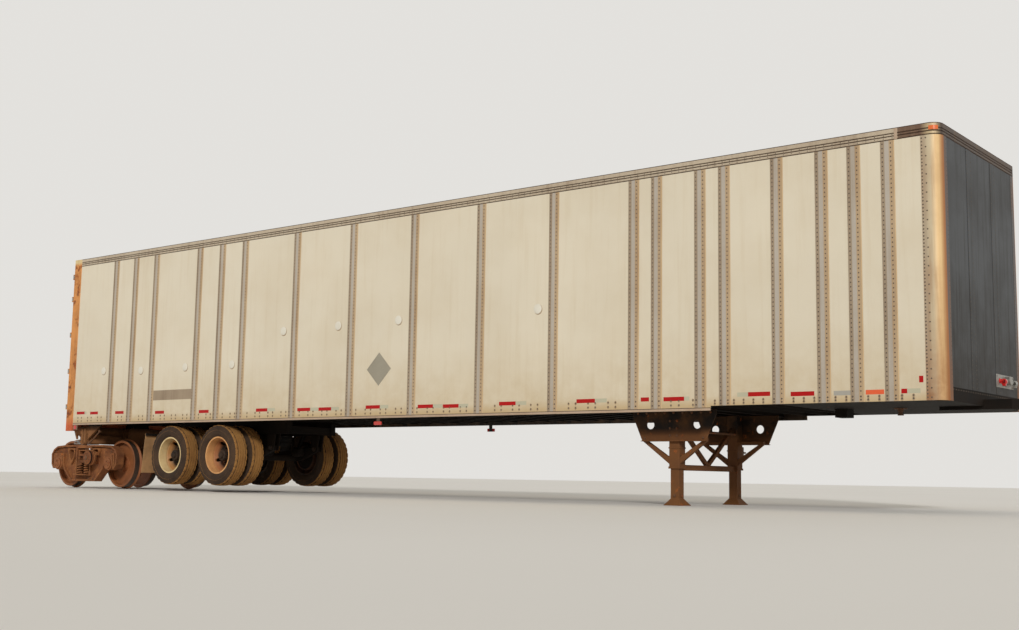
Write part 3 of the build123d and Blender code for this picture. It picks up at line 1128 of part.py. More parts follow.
# Brake beams with their heads and shoes, one beam inside each wheelset
SHOE_GAP = 8
SHOE_DEPTH = 40
BEAM_PLACE = 309
BEAM_Z = 405
with BuildPart() as brake_beams:
    for end in (-1, 1):
        with BuildSketch(Plane.XY.offset(BEAM_Z - 25)):
            with Locations((at(BOGIE_CENTRE + end * BEAM_PLACE), 0)):
                Rectangle(36, 1480)
            with BuildLine():
                Polyline((at(BOGIE_CENTRE + end * BEAM_PLACE), -680),
                         (at(BOGIE_CENTRE + end * 225), -40), (at(BOGIE_CENTRE + end * 225), 40),
                         (at(BOGIE_CENTRE + end * BEAM_PLACE), 680),
                         (at(BOGIE_CENTRE + end * BEAM_PLACE), 600),
                         (at(BOGIE_CENTRE + end * 255), 40), (at(BOGIE_CENTRE + end * 255), -40),
                         (at(BOGIE_CENTRE + end * BEAM_PLACE), -600), close=True)
            make_face()
        extrude(amount=50)
        for outboard in (715, -800):
            with BuildSketch(elevation(outboard)):
                with Locations((end * HALF_WHEELBASE, RAIL_AXLE_Z)):
                    Circle(TREAD_RADIUS + SHOE_GAP + SHOE_DEPTH)
                    Circle(TREAD_RADIUS + SHOE_GAP, mode=Mode.SUBTRACT)
                with Locations((end * (HALF_WHEELBASE - TREAD_RADIUS - 30), BEAM_Z)):
                    Rectangle(160, 260, mode=Mode.INTERSECT)
            extrude(amount=85)
save(brake_beams, "brake_beams")

# Brake levers on the struts of the two beams, with the rod that joins them under the bolster
LEVER_START = 190
LEVER_END = 225
LEVER_BOTTOM = 235
LEVER_TOP = 705
LEVER_THICKNESS = 28
ROD_Z = 265
BRAKE_ROD_RADIUS = 14
with BuildPart() as brake_levers:
    with BuildSketch(elevation(-LEVER_THICKNESS / 2)):
        for end in (-1, 1):
            with Locations((end * (LEVER_START + LEVER_END) / 2, (LEVER_BOTTOM + LEVER_TOP) / 2)):
                RectangleRounded(LEVER_END - LEVER_START, LEVER_TOP - LEVER_BOTTOM, 15)
    extrude(amount=LEVER_THICKNESS)
    with BuildSketch(Plane.YZ.offset(at(BOGIE_CENTRE - LEVER_START))):
        with Locations((0, ROD_Z)):
            Circle(BRAKE_ROD_RADIUS)
    extrude(amount=2 * LEVER_START)
save(brake_levers, "brake_levers")

# Brake cylinder on a bracket across the front window of the right side frame
CYLINDER_PLACE = 390
CYLINDER_Z = 545
CYLINDER_RADIUS = 125
CYLINDER_BRACKET_LENGTH = 230
CYLINDER_BRACKET_Z = 620
RIM_OUT = SIDE_FRAME_Y + RIM_THICKNESS / 2
CYLINDER_START = RIM_OUT + 45
with BuildPart() as brake_cylinder:
    with BuildSketch(Plane(origin=(at(BOGIE_CENTRE + CYLINDER_PLACE), 0, CYLINDER_Z),
                           x_dir=(0, -1, 0), z_dir=(1, 0, 0))):
        with BuildLine():
            Polyline((CYLINDER_START, 0), (CYLINDER_START, 90),
                     (CYLINDER_START + 20, CYLINDER_RADIUS), (CYLINDER_START + 50, CYLINDER_RADIUS),
                     (CYLINDER_START + 50, CYLINDER_RADIUS + 10),
                     (CYLINDER_START + 64, CYLINDER_RADIUS + 10),
                     (CYLINDER_START + 64, CYLINDER_RADIUS), (CYLINDER_START + 130, CYLINDER_RADIUS),
                     (CYLINDER_START + 150, 100), (CYLINDER_START + 156, 0), close=True)
        make_face()
    revolve(axis=Axis((at(BOGIE_CENTRE + CYLINDER_PLACE), 0, CYLINDER_Z), (0, 1, 0)))
    with BuildSketch(elevation(RIM_OUT)):
        with Locations((CYLINDER_PLACE, CYLINDER_BRACKET_Z)):
            Rectangle(CYLINDER_BRACKET_LENGTH, 60)
    extrude(amount=CYLINDER_START + 30 - RIM_OUT)
save(brake_cylinder, "brake_cylinder")

# Wheelsets: an axle with its two flanged wheels and the end caps, in one piece
# Half section, columns: distance from the middle of the axle, radius
WHEELSET_PROFILE = ((0, 0), (0, 82), (600, 84), (640, 96), (655, 96), (655, 135), (700, 140),
                    (712, 365), (677, 372), (677, 432), (683, 442), (690, FLANGE_RADIUS),
                    (698, 441), (708, TREAD_RADIUS + 6), (714, TREAD_RADIUS),
                    (818, TREAD_RADIUS - 4), (823, TREAD_RADIUS - 10), (823, 374), (742, 366),
                    (748, 146), (835, 134), (835, 96), (862, 96), (872, JOURNAL_RADIUS),
                    (1096, JOURNAL_RADIUS), (1096, 96), (1114, 96), (1120, 86), (1120, 0))
for place, end in (("rear", -1), ("front", 1)):
    axle_x = at(BOGIE_CENTRE + end * HALF_WHEELBASE)
    with BuildPart() as wheelset:
        with BuildSketch(Plane(origin=(axle_x, 0, RAIL_AXLE_Z), x_dir=(0, 1, 0), z_dir=(1, 0, 0))):
            with BuildLine():
                Polyline(WHEELSET_PROFILE, close=True)
            make_face()
        revolve(axis=Axis((axle_x, 0, RAIL_AXLE_Z), (0, 1, 0)))
        mirror(about=Plane.XZ)
    save(wheelset, f"wheelset_{place}")

print("rear tip", at(REAR_TIP), "front tip", at(FRONT_TIP))
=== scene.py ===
"""Road-rail van trailer, parked on its rail bogie and its landing legs.

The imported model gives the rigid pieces, in metres, in the vehicle's frame: +X to the nose, +Y to
the left side, +Z up, floor at zero. This script gives each surface its finish, adds the fittings
that are too small for the model, and sets the floor, the lights and the camera.
"""

import json
import logging
import math
from dataclasses import dataclass
from enum import Enum

import bmesh
import bpy
from mathutils import Matrix, Vector


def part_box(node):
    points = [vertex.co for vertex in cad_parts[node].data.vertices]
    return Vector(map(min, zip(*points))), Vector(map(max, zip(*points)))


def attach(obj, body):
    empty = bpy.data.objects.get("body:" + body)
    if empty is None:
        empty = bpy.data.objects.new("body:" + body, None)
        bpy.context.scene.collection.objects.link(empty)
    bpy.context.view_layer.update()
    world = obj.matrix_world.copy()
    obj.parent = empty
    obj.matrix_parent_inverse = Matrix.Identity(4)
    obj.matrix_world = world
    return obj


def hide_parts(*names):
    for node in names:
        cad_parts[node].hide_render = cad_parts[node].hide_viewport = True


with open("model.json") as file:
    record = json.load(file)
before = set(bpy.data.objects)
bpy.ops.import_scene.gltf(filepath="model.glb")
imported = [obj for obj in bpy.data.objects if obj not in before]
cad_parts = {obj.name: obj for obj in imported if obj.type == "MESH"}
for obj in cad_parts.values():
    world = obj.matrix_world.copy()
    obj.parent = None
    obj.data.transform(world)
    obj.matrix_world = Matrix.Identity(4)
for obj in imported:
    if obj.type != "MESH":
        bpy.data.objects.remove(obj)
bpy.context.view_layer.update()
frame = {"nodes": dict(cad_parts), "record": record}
LOG = logging.getLogger("scene")

Point = tuple[float, float, float]
Colour = tuple[float, float, float]
Pair = tuple[float, float]
Pairs = tuple[Pair, ...]
Trio = tuple[float, float, float]

REAR_POST_LENGTH = 0.212
REAR_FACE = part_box("side_panel_right")[0].x - REAR_POST_LENGTH
BODY_LENGTH = 16.154
WALL_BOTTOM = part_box("side_panel_right")[0].z
WALL_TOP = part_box("side_panel_right")[1].z
POST_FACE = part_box("splice_posts_left")[1].y
PANEL_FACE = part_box("side_panel_left")[1].y
CORNER_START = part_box("side_panel_right")[1].x
CORNER_RADIUS = 0.130
COUPLER_START = 13.36
COUPLER_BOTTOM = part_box("corner_post_right")[0].z
RAIL_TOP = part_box("top_rail_right")[1].z
BAND_LOW = WALL_BOTTOM + 0.353
BAND_HIGH = WALL_BOTTOM + 0.518
POST_GAP = 0.002
SIDES = (("right", -1), ("left", 1))
ENDS = (("rear", -1), ("front", 1))
SIGNS = (-1, 1)
AHEAD: Point = (1, 0, 0)
BEHIND: Point = (-1, 0, 0)


def at(distance: float) -> float:
    """X of a place given as its distance from the rear face of the body."""
    return REAR_FACE + distance


def srgb(red: int, green: int, blue: int) -> Colour:
    """Linear colour of a display colour whose channels run from 0 to 255."""

    def linear(channel: int) -> float:
        """One channel, display to linear."""
        share = channel / 255
        return share / 12.92 if share <= 0.04045 else ((share + 0.055) / 1.055) ** 2.4

    return linear(red), linear(green), linear(blue)


class Graph:
    """Adds and links the nodes of one shader tree.

    Attributes:
        tree: The node tree that is written to.
    """

    def __init__(self, tree: bpy.types.NodeTree) -> None:
        """Start with an empty tree."""
        self.tree = tree
        tree.nodes.clear()

    def feed(self, value: object, socket: bpy.types.NodeSocket) -> None:
        """Link a socket to another socket, or set its constant."""
        if isinstance(value, bpy.types.NodeSocket):
            self.tree.links.new(value, socket)
        elif socket.type == "RGBA" and len(value) == 3:
            socket.default_value = (*value, 1.0)
        else:
            socket.default_value = value

    def add(self, kind: str, inputs: dict | None = None, **settings: object) -> bpy.types.Node:
        """Add a node.

        Args:
            kind: Blender's name for the node.
            inputs: Values or sockets for its inputs, by name or number.
            **settings: Attributes of the node itself.

        Returns:
            The new node.
        """
        node = self.tree.nodes.new(kind)
        for name, value in settings.items():
            setattr(node, name, value)
        for key, value in (inputs or {}).items():
            self.feed(value, node.inputs[key])
        return node

    def place(self) -> bpy.types.NodeSocket:
        """Position in the vehicle's frame."""
        return self.add("ShaderNodeTexCoord").outputs["Object"]

    def stretched(self, across: float, along: float, up: float) -> bpy.types.NodeSocket:
        """Position scaled by axis."""
        scale = (along, across, up)
        mapping = self.add("ShaderNodeMapping", {"Vector": self.place(), "Scale": scale})
        return mapping.outputs["Vector"]

    def noise(self, scale: object, detail: float = 4, rough: float = 0.55,
              vector: bpy.types.NodeSocket | None = None) -> bpy.types.NodeSocket:
        """Value of a noise texture, from 0 to 1."""
        node = self.add("ShaderNodeTexNoise", {"Vector": vector or self.place(), "Scale": scale,
                                               "Detail": detail, "Roughness": rough})
        return node.outputs["Fac"]

    def remap(self, value: object, low: object, high: object,
              to: tuple = (0.0, 1.0)) -> bpy.types.NodeSocket:
        """Value moved from one range to another and held within it."""
        node = self.add("ShaderNodeMapRange", {
            "Value": value, "From Min": low, "From Max": high, "To Min": to[0], "To Max": to[1]})
        return node.outputs["Result"]

    def math(self, how: str, first: object, second: object = 0.0) -> bpy.types.NodeSocket:
        """Result of one sum, held between 0 and 1."""
        node = self.add("ShaderNodeMath", {0: first, 1: second}, operation=how, use_clamp=True)
        return node.outputs["Value"]

    def blend(self, share: object, first: object, second: object) -> bpy.types.NodeSocket:
        """Mix of two colours."""
        node = self.add("ShaderNodeMix", {0: share, 6: first, 7: second}, data_type="RGBA")
        return node.outputs[2]


@dataclass(frozen=True)
class Socket:
    """One named socket of a node group.

    Attributes:
        name: What the socket is called.
        kind: "Float" or "Color".
        start: The value it has where nothing sets it.
    """

    name: str
    kind: str = "Float"
    start: object = 0.0


class Effect:
    """A node group that several finishes share.

    Attributes:
        name: The group's name.
        inputs: Its input sockets.
        outputs: Its output sockets.
    """

    name: str = ""
    inputs: tuple[Socket, ...] = ()
    outputs: tuple[Socket, ...] = ()

    def tree(self) -> bpy.types.NodeTree:
        """The group's tree, made the first time it is asked for."""
        known = bpy.data.node_groups.get(self.name)
        if known:
            return known
        tree = bpy.data.node_groups.new(self.name, "ShaderNodeTree")
        for way, sockets in (("INPUT", self.inputs), ("OUTPUT", self.outputs)):
            for socket in sockets:
                made = tree.interface.new_socket(
                    name=socket.name, in_out=way, socket_type=f"NodeSocket{socket.kind}")
                if way == "INPUT":
                    made.default_value = socket.start
        graph = Graph(tree)
        entry = graph.add("NodeGroupInput")
        leave = graph.add("NodeGroupOutput")
        self.wire(graph, entry.outputs, leave.inputs)
        return tree

    def wire(self, graph: Graph, entry: object, leave: object) -> None:
        """Make the group's nodes between its entry and its exit."""
        raise NotImplementedError

    def use(self, graph: Graph, values: dict) -> bpy.types.NodeOutputs:
        """Place the group in a material.

        Args:
            graph: The material's graph.
            values: Values or sockets for the group's inputs, by name.

        Returns:
            The placed group's outputs.
        """
        node = graph.add("ShaderNodeGroup", node_tree=self.tree())
        for name, value in values.items():
            graph.feed(value, node.inputs[name])
        return node.outputs


WHITE = (1.0, 1.0, 1.0, 1.0)


class Grime(Effect):
    """Blotches and runs of dirt over a colour."""

    name = "Grime"
    inputs = (Socket("Color", "Color", WHITE), Socket("Dirt Color", "Color", WHITE),
              Socket("Blotches"), Socket("Runs"), Socket("Scale", "Float", 1.0))
    outputs = (Socket("Color", "Color"), Socket("Mask"))

    def wire(self, graph: Graph, entry: object, leave: object) -> None:
        """Broad noise for blotches, tall thin noise for runs."""
        broad = graph.remap(graph.noise(entry["Scale"], 6, 0.6), 0.42, 0.72)
        tall = graph.noise(1.6, 5, 0.6, graph.stretched(9, 9, 0.45))
        runs = graph.remap(tall, 0.5, 0.78)
        mask = graph.math("ADD", graph.math("MULTIPLY", broad, entry["Blotches"]),
                          graph.math("MULTIPLY", runs, entry["Runs"]))
        graph.feed(graph.blend(mask, entry["Color"], entry["Dirt Color"]), leave["Color"])
        graph.feed(mask, leave["Mask"])


class Rust(Effect):
    """Patches of rust that eat through a coat, in two tones."""

    name = "Rust"
    inputs = (Socket("Color", "Color", WHITE), Socket("Amount"), Socket("Scale", "Float", 4.0),
              Socket("Light Rust", "Color", WHITE), Socket("Dark Rust", "Color", WHITE))
    outputs = (Socket("Color", "Color"), Socket("Mask"))

    def wire(self, graph: Graph, entry: object, leave: object) -> None:
        """Noise held above a level that falls as the amount rises."""
        level = graph.remap(entry["Amount"], 0.0, 1.0, (0.78, 0.18))
        patches = graph.noise(entry["Scale"], 9, 0.66)
        mask = graph.remap(graph.math("SUBTRACT", patches, level), 0.0, 0.09)
        tone = graph.remap(graph.noise(14.0, 6, 0.7), 0.35, 0.65)
        rust = graph.blend(tone, entry["Dark Rust"], entry["Light Rust"])
        graph.feed(graph.blend(mask, entry["Color"], rust), leave["Color"])
        graph.feed(mask, leave["Mask"])


class Splash(Effect):
    """Road and track dirt, thickest low down."""

    name = "Splash"
    inputs = (Socket("Color", "Color", WHITE), Socket("Dirt Color", "Color", WHITE),
              Socket("Amount"), Socket("Low"), Socket("High", "Float", 1.0))
    outputs = (Socket("Color", "Color"), Socket("Mask"))

    def wire(self, graph: Graph, entry: object, leave: object) -> None:
        """Height fade, broken up by noise."""
        split = graph.add("ShaderNodeSeparateXYZ", {"Vector": graph.place()})
        fade = graph.remap(split.outputs["Z"], entry["High"], entry["Low"])
        broken = graph.remap(graph.noise(5.0, 7, 0.65), 0.3, 0.7, (0.35, 1.0))
        mask = graph.math("MULTIPLY", graph.math("MULTIPLY", fade, broken), entry["Amount"])
        graph.feed(graph.blend(mask, entry["Color"], entry["Dirt Color"]), leave["Color"])
        graph.feed(mask, leave["Mask"])


class Grain(Effect):
    """Fine unevenness of a surface, as a height."""

    name = "Grain"
    inputs = (Socket("Scale", "Float", 60.0), Socket("Broad", "Float", 0.3))
    outputs = (Socket("Height"),)

    def wire(self, graph: Graph, entry: object, leave: object) -> None:
        """Fine noise, with broad waves under it."""
        fine = graph.noise(entry["Scale"], 5, 0.6)
        waves = graph.math("MULTIPLY", graph.noise(1.4, 2, 0.5), entry["Broad"])
        graph.feed(graph.math("ADD", graph.math("MULTIPLY", fine, 0.5), waves), leave["Height"])


class Fade(Effect):
    """Change to a second colour along one direction."""

    name = "Fade"
    inputs = (Socket("Color", "Color", WHITE), Socket("Far Color", "Color", WHITE),
              Socket("Place"), Socket("Start"), Socket("End", "Float", 1.0))
    outputs = (Socket("Color", "Color"),)

    def wire(self, graph: Graph, entry: object, leave: object) -> None:
        """Straight change between two places."""
        share = graph.remap(entry["Place"], entry["Start"], entry["End"])
        graph.feed(graph.blend(share, entry["Color"], entry["Far Color"]), leave["Color"])


class Edges(Effect):
    """Worn edges, found where a rounded normal leaves the true one."""

    name = "Edges"
    inputs = (Socket("Radius", "Float", 0.01), Socket("Amount"))
    outputs = (Socket("Mask"), Socket("Normal", "Vector"))

    def wire(self, graph: Graph, entry: object, leave: object) -> None:
        """Compare both normals, and break the line up with noise."""
        soft = graph.add("ShaderNodeBevel", {"Radius": entry["Radius"]}, samples=4)
        true = graph.add("ShaderNodeNewGeometry").outputs["True Normal"]
        match = graph.add("ShaderNodeVectorMath", {0: soft.outputs["Normal"], 1: true},
                          operation="DOT_PRODUCT")
        line = graph.remap(match.outputs["Value"], 0.995, 0.86)
        broken = graph.remap(graph.noise(26.0, 5, 0.65), 0.34, 0.58)
        mask = graph.math("MULTIPLY", graph.math("MULTIPLY", line, broken), entry["Amount"])
        graph.feed(mask, leave["Mask"])
        graph.feed(soft.outputs["Normal"], leave["Normal"])


GRIME, RUST, SPLASH, GRAIN = Grime(), Rust(), Splash(), Grain()
FADE, EDGES = Fade(), Edges()

LIGHT_RUST = srgb(186, 104, 48)
DARK_RUST = srgb(88, 48, 30)
DUST = srgb(150, 122, 86)
DARK_GRAIN = 0.55
DARK_PATCH = 0.62
PALE_PATCH = 1.05
RELIEF_STRENGTH = 0.8
DIRT_ROUGHENS = 0.35
ROUGHEST = 0.95
DIRTY_METAL = 0.1


class Surface(Enum):
    """What a finish is made of; wood, castings and rubber have patterns of their own."""

    PAINT = "paint"
    METAL = "metal"
    CASTING = "casting"
    RUBBER = "rubber"
    WOOD = "wood"
    LENS = "lens"
    TAPE = "tape"


@dataclass(frozen=True)
class Band:
    """Colour that takes over part of a finish.

    Attributes:
        colour: The colour, linear.
        axis: "X", "Y" or "Z"; Y is taken as the distance from the centreline.
        start: Where the change starts.
        end: Where the change ends.
    """

    colour: Colour
    axis: str
    start: float
    end: float


@dataclass(frozen=True)
class Finish:
    """One finish of the vehicle.

    Attributes:
        name: Plain name of the finish.
        colour: Its clean colour, linear.
        kind: What it is made of.
        roughness: Least roughness; dirt raises it.
        metallic: Bare metal is 1.
        dirt: Colour of the dirt on it.
        blotches: How strong the blotches of dirt are.
        runs: How strong the runs of dirt are.
        dirt_scale: Size of the blotches, as a noise scale.
        rust: Share that has rusted.
        rust_scale: Size of the rust patches, as a noise scale.
        splash: How thick the low dirt is.
        splash_low: Height where the low dirt is thickest.
        splash_high: Height where the low dirt ends.
        grain: Noise scale of the surface.
        depth: Depth of the grain, in metres.
        coat: Clear coat.
        specular: Strength of its shine; 0.5 is plain.
        bands: Colours that take over parts of it.
        edge: How far its edges have worn.
        edge_colour: Colour of the worn edges.
        edge_radius: Width of the worn edges, in metres.
    """

    name: str
    colour: Colour
    kind: Surface = Surface.PAINT
    roughness: float = 0.45
    metallic: float = 0.0
    dirt: Colour = DUST
    blotches: float = 0.25
    runs: float = 0.0
    dirt_scale: float = 1.2
    rust: float = 0.0
    rust_scale: float = 4.0
    splash: float = 0.0
    splash_low: float = 0.0
    splash_high: float = 1.2
    grain: float = 60.0
    depth: float = 0.0008
    coat: float = 0.0
    specular: float = 0.5
    bands: tuple[Band, ...] = ()
    edge: float = 0.0
    edge_colour: Colour = LIGHT_RUST
    edge_radius: float = 0.008

    def base(self, graph: Graph) -> object:
        """Clean colour, with the pattern that its material has."""
        if self.kind is Surface.WOOD:
            grain = graph.remap(graph.noise(6.0, 8, 0.6, graph.stretched(14, 0.6, 4)), 0.3, 0.7)
            dark = tuple(DARK_GRAIN * channel for channel in self.colour)
            return graph.blend(grain, dark, self.colour)
        if self.kind in (Surface.CASTING, Surface.RUBBER):
            tone = graph.remap(graph.noise(3.5, 7, 0.65), 0.35, 0.65)
            dark = tuple(DARK_PATCH * channel for channel in self.colour)
            return graph.blend(tone, dark, self.colour)
        tone = graph.remap(graph.noise(0.55, 3, 0.5), 0.35, 0.65)
        pale = tuple(min(1.0, PALE_PATCH * channel) for channel in self.colour)
        return graph.blend(tone, self.colour, pale)

    def banded(self, graph: Graph) -> object:
        """Clean colour with its bands."""
        colour = self.base(graph)
        for band in self.bands:
            split = graph.add("ShaderNodeSeparateXYZ", {"Vector": graph.place()})
            place = split.outputs[band.axis]
            if band.axis == "Y":
                distance = graph.add("ShaderNodeMath", {0: place}, operation="ABSOLUTE")
                place = distance.outputs["Value"]
            colour = FADE.use(graph, {"Color": colour, "Far Color": band.colour, "Place": place,
                                      "Start": band.start, "End": band.end})["Color"]
        return colour

    def material(self) -> bpy.types.Material:
        """The finish as a material, made once."""
        known = bpy.data.materials.get(self.name)
        if known:
            return known
        material = bpy.data.materials.new(self.name)
        material.use_nodes = True
        graph = Graph(material.node_tree)
        shader = graph.add("ShaderNodeBsdfPrincipled")
        output = graph.add("ShaderNodeOutputMaterial")
        graph.feed(shader.outputs["BSDF"], output.inputs["Surface"])
        grime = GRIME.use(graph, {"Color": self.banded(graph), "Dirt Color": self.dirt,
                                  "Blotches": self.blotches, "Runs": self.runs,
                                  "Scale": self.dirt_scale})
        colour = grime["Color"]
        worn = grime["Mask"]
        if self.rust:
            rust = RUST.use(graph, {"Color": colour, "Amount": self.rust, "Scale": self.rust_scale,
                                    "Light Rust": LIGHT_RUST, "Dark Rust": DARK_RUST})
            colour = rust["Color"]
            worn = graph.math("ADD", worn, rust["Mask"])
        if self.splash:
            splash = SPLASH.use(graph, {"Color": colour, "Dirt Color": self.dirt,
                                        "Amount": self.splash, "Low": self.splash_low,
                                        "High": self.splash_high})
            colour = splash["Color"]
            worn = graph.math("ADD", worn, splash["Mask"])
        relief = {"Distance": self.depth, "Strength": RELIEF_STRENGTH}
        if self.edge:
            edges = EDGES.use(graph, {"Radius": self.edge_radius, "Amount": self.edge})
            colour = graph.blend(edges["Mask"], colour, self.edge_colour)
            relief["Normal"] = edges["Normal"]
        graph.feed(colour, shader.inputs["Base Color"])
        roughest = min(ROUGHEST, self.roughness + DIRT_ROUGHENS)
        rough = graph.remap(worn, 0.0, 1.0, (self.roughness, roughest))
        graph.feed(rough, shader.inputs["Roughness"])
        if self.metallic:
            bare = graph.remap(worn, 0.0, 1.0, (self.metallic, DIRTY_METAL))
            graph.feed(bare, shader.inputs["Metallic"])
        if self.coat:
            shader.inputs["Coat Weight"].default_value = self.coat
        shader.inputs["Specular IOR Level"].default_value = self.specular
        grain = GRAIN.use(graph, {"Scale": self.grain})
        bump = graph.add("ShaderNodeBump", {"Height": grain["Height"], **relief})
        graph.feed(bump.outputs["Normal"], shader.inputs["Normal"])
        return material


PANEL = Finish("wall_panel", srgb(224, 213, 190), roughness=0.34, dirt=srgb(192, 166, 120),
               blotches=0.2, runs=0.16, dirt_scale=0.8, splash=0.6, splash_low=1.15,
               splash_high=2.1, grain=24.0, depth=0.0006,
               bands=(Band(srgb(206, 182, 144), "Z", 1.30, 1.19),))
POST = Finish("splice_post", srgb(184, 174, 160), roughness=0.5, dirt=srgb(144, 122, 94),
              blotches=0.25, runs=0.35, splash=0.35, splash_low=1.15, splash_high=1.7)
# Painted shade and light on the posts' edges: the darker rear edge is painted shade (its colour
# also serves the darker cross band), the paler front part is painted light and the pale front lip
# is a painted highlight.
POST_SHADE_AND_BAND = Finish("post_painted_shade_and_band", srgb(160, 141, 117), roughness=0.55,
                   dirt=srgb(120, 100, 80), blotches=0.35, runs=0.5)
POST_FRONT_LIT = Finish("post_front_painted_light", srgb(184, 158, 124), roughness=0.5,
                    dirt=srgb(150, 116, 80), blotches=0.4, runs=0.5)
POST_LIP_HIGHLIGHT = Finish("post_lip_painted_highlight", srgb(214, 184, 140), roughness=0.5,
                  dirt=srgb(180, 138, 92), blotches=0.4, runs=0.5)
# Dark rivet heads: partly dirt, partly painted shade for the shadow each head casts.
RIVET = Finish("rivet_dirt_and_painted_shade", srgb(96, 84, 70), Surface.METAL, roughness=0.55, metallic=0.2,
               dirt=srgb(70, 54, 40), blotches=0.5, dirt_scale=6.0, grain=120.0)
# Dirt round the foot's heads; the same colour makes the painted shadow crescents beside the discs.
STAIN_AND_SHADOW = Finish("stains_and_painted_shadow", srgb(172, 150, 120), roughness=0.6, dirt=srgb(140, 108, 72),
               blotches=0.6, dirt_scale=9.0)
# Dark sealant and joints; the same colour is painted shade and dirt in the top rail's grooves.
SEALANT_AND_SHADE = Finish("dark_sealant_and_painted_shade", srgb(62, 46, 36), roughness=0.75, dirt=srgb(96, 68, 48),
                 blotches=0.5, dirt_scale=5.0)
RAIL = Finish("rail_extrusion", srgb(198, 182, 158), Surface.METAL, roughness=0.5, metallic=0.2,
              dirt=srgb(138, 114, 90), blotches=0.35, runs=0.4, rust=0.04, rust_scale=6.0,
              # Darker brown towards the nose, a paler band at the corner's round, then painted
              # shade where the rail turns onto the nose.
              bands=(Band(srgb(112, 86, 68), "X", at(15.69), at(15.70)),
                     Band(srgb(190, 168, 130), "X", at(15.95), at(16.03)),
                     Band(srgb(78, 66, 58), "X", at(16.10), at(16.145))))
BASE_RAIL = Finish("base_rail_strip", srgb(188, 164, 140), Surface.METAL, roughness=0.45,
                   metallic=0.15, dirt=srgb(150, 118, 88), blotches=0.4, runs=0.2,
                   dirt_scale=3.0,
                   # Painted shade: the base rail goes nearly black inside its outer face, under
                   # the body.
                   bands=(Band(srgb(36, 29, 24), "Y", 1.288, 1.280),))
# Painted light and shade on the corner post: a pale band, a golden painted sheen round the corner,
# rust at its front edge, and painted shade on its flange facing the nose.
CORNER = Finish("corner_post", srgb(178, 160, 134), Surface.METAL, roughness=0.5, metallic=0.1,
                dirt=srgb(150, 98, 56), blotches=0.35, runs=0.5, rust=0.16, rust_scale=3.0,
                splash=0.95, splash_low=1.12, splash_high=1.9,
                bands=(Band(srgb(206, 190, 158), "X", at(15.985), at(16.02)),
                       Band(srgb(226, 190, 136), "X", at(16.045), at(16.10)),
                       Band(srgb(168, 110, 64), "X", at(16.125), at(16.151)),
                       Band(srgb(84, 84, 84), "Y", 1.176, 1.160)))
# Painted shade: the nose wall is given a dark grey for the shade it stands in, darker than its own
# colour.
NOSE_PAINTED_SHADE = Finish("nose_wall_painted_shade", srgb(64, 66, 68), Surface.METAL, roughness=0.45,
                    specular=0.25, dirt=srgb(60, 56, 51), blotches=0.4, runs=0.5, splash=0.8,
                    splash_low=1.3, splash_high=2.6)
REAR_FRAME = Finish("rear_frame_paint", srgb(216, 146, 78), roughness=0.55, dirt=srgb(120, 66, 34),
                    blotches=0.5, runs=0.5, dirt_scale=3.0, rust=0.4, rust_scale=5.0,
                    bands=(Band(srgb(206, 96, 48), "Z", 1.32, 1.12),
                           Band(srgb(228, 204, 150), "Z", 4.06, 4.12)), edge=0.7)
DOOR = Finish("door_skin", srgb(216, 208, 190), roughness=0.4, dirt=srgb(150, 126, 92),
              blotches=0.3, runs=0.5, splash=0.7, splash_low=1.3, splash_high=2.4)
# Black underframe paint, made darker still as painted shade under the body.
BLACK_AND_SHADE = Finish("underframe_black_and_painted_shade", srgb(22, 18, 15), roughness=0.7, dirt=srgb(58, 44, 32),
               blotches=0.3, dirt_scale=2.5, rust=0.12, rust_scale=5.0, splash=0.25,
               splash_low=0.2, splash_high=1.1, specular=0.12)
ADAPTER = Finish("adapter_casting", srgb(152, 104, 66), Surface.CASTING, roughness=0.75,
                 dirt=srgb(110, 74, 48), blotches=0.4, dirt_scale=4.0, rust=0.25, rust_scale=6.0,
                 grain=90.0, depth=0.003, specular=0.2,
                 # Painted shade: nearly black towards the top, under the body.
                 bands=(Band(srgb(26, 19, 15), "Z", 1.02, 1.12),), edge=0.7,
                 edge_colour=srgb(206, 150, 94))
# Painted shade: the landing gear goes nearly black above about 0.9 m, in the body's shadow.
GEAR = Finish("landing_gear_paint", srgb(104, 66, 37), roughness=0.7, dirt=srgb(132, 88, 48),
              blotches=0.45, dirt_scale=4.0, rust=0.3, rust_scale=6.0, splash=0.4,
              splash_high=0.5, specular=0.25, bands=(Band(srgb(28, 20, 15), "Z", 0.86, 0.95),),
              edge=0.4, edge_colour=srgb(160, 106, 58))
CASTING = Finish("rusted_casting", srgb(124, 74, 44), Surface.CASTING, roughness=0.74,
                 dirt=srgb(176, 116, 66), blotches=0.55, dirt_scale=5.0, rust=0.25,
                 rust_scale=7.0, splash=0.2, splash_high=0.8, grain=90.0, depth=0.004,
                 specular=0.3, edge=0.85, edge_colour=srgb(206, 142, 84))
WHEEL = Finish("rail_wheel_steel", srgb(150, 90, 50), Surface.CASTING, roughness=0.6,
               metallic=0.1, dirt=srgb(168, 106, 58), blotches=0.4, rust=0.25, rust_scale=5.0,
               grain=70.0, depth=0.0015, edge=0.35, edge_colour=srgb(176, 130, 88))
TREAD = Finish("polished_tread", srgb(78, 70, 64), Surface.METAL, roughness=0.32, metallic=0.7,
               dirt=srgb(110, 78, 52), blotches=0.5, dirt_scale=3.0, grain=30.0, depth=0.0002)
TYRE = Finish("dusty_tyre", srgb(64, 49, 38), Surface.RUBBER, roughness=0.85, specular=0.25,
              dirt=srgb(100, 74, 50), blotches=0.4, dirt_scale=3.0, grain=120.0,
              depth=0.0012)
TYRE_TREAD = Finish("dusty_tread", srgb(158, 112, 62), Surface.RUBBER, roughness=0.9,
                    specular=0.2, dirt=srgb(192, 142, 80), blotches=0.5, dirt_scale=4.0,
                    grain=120.0, depth=0.0012)
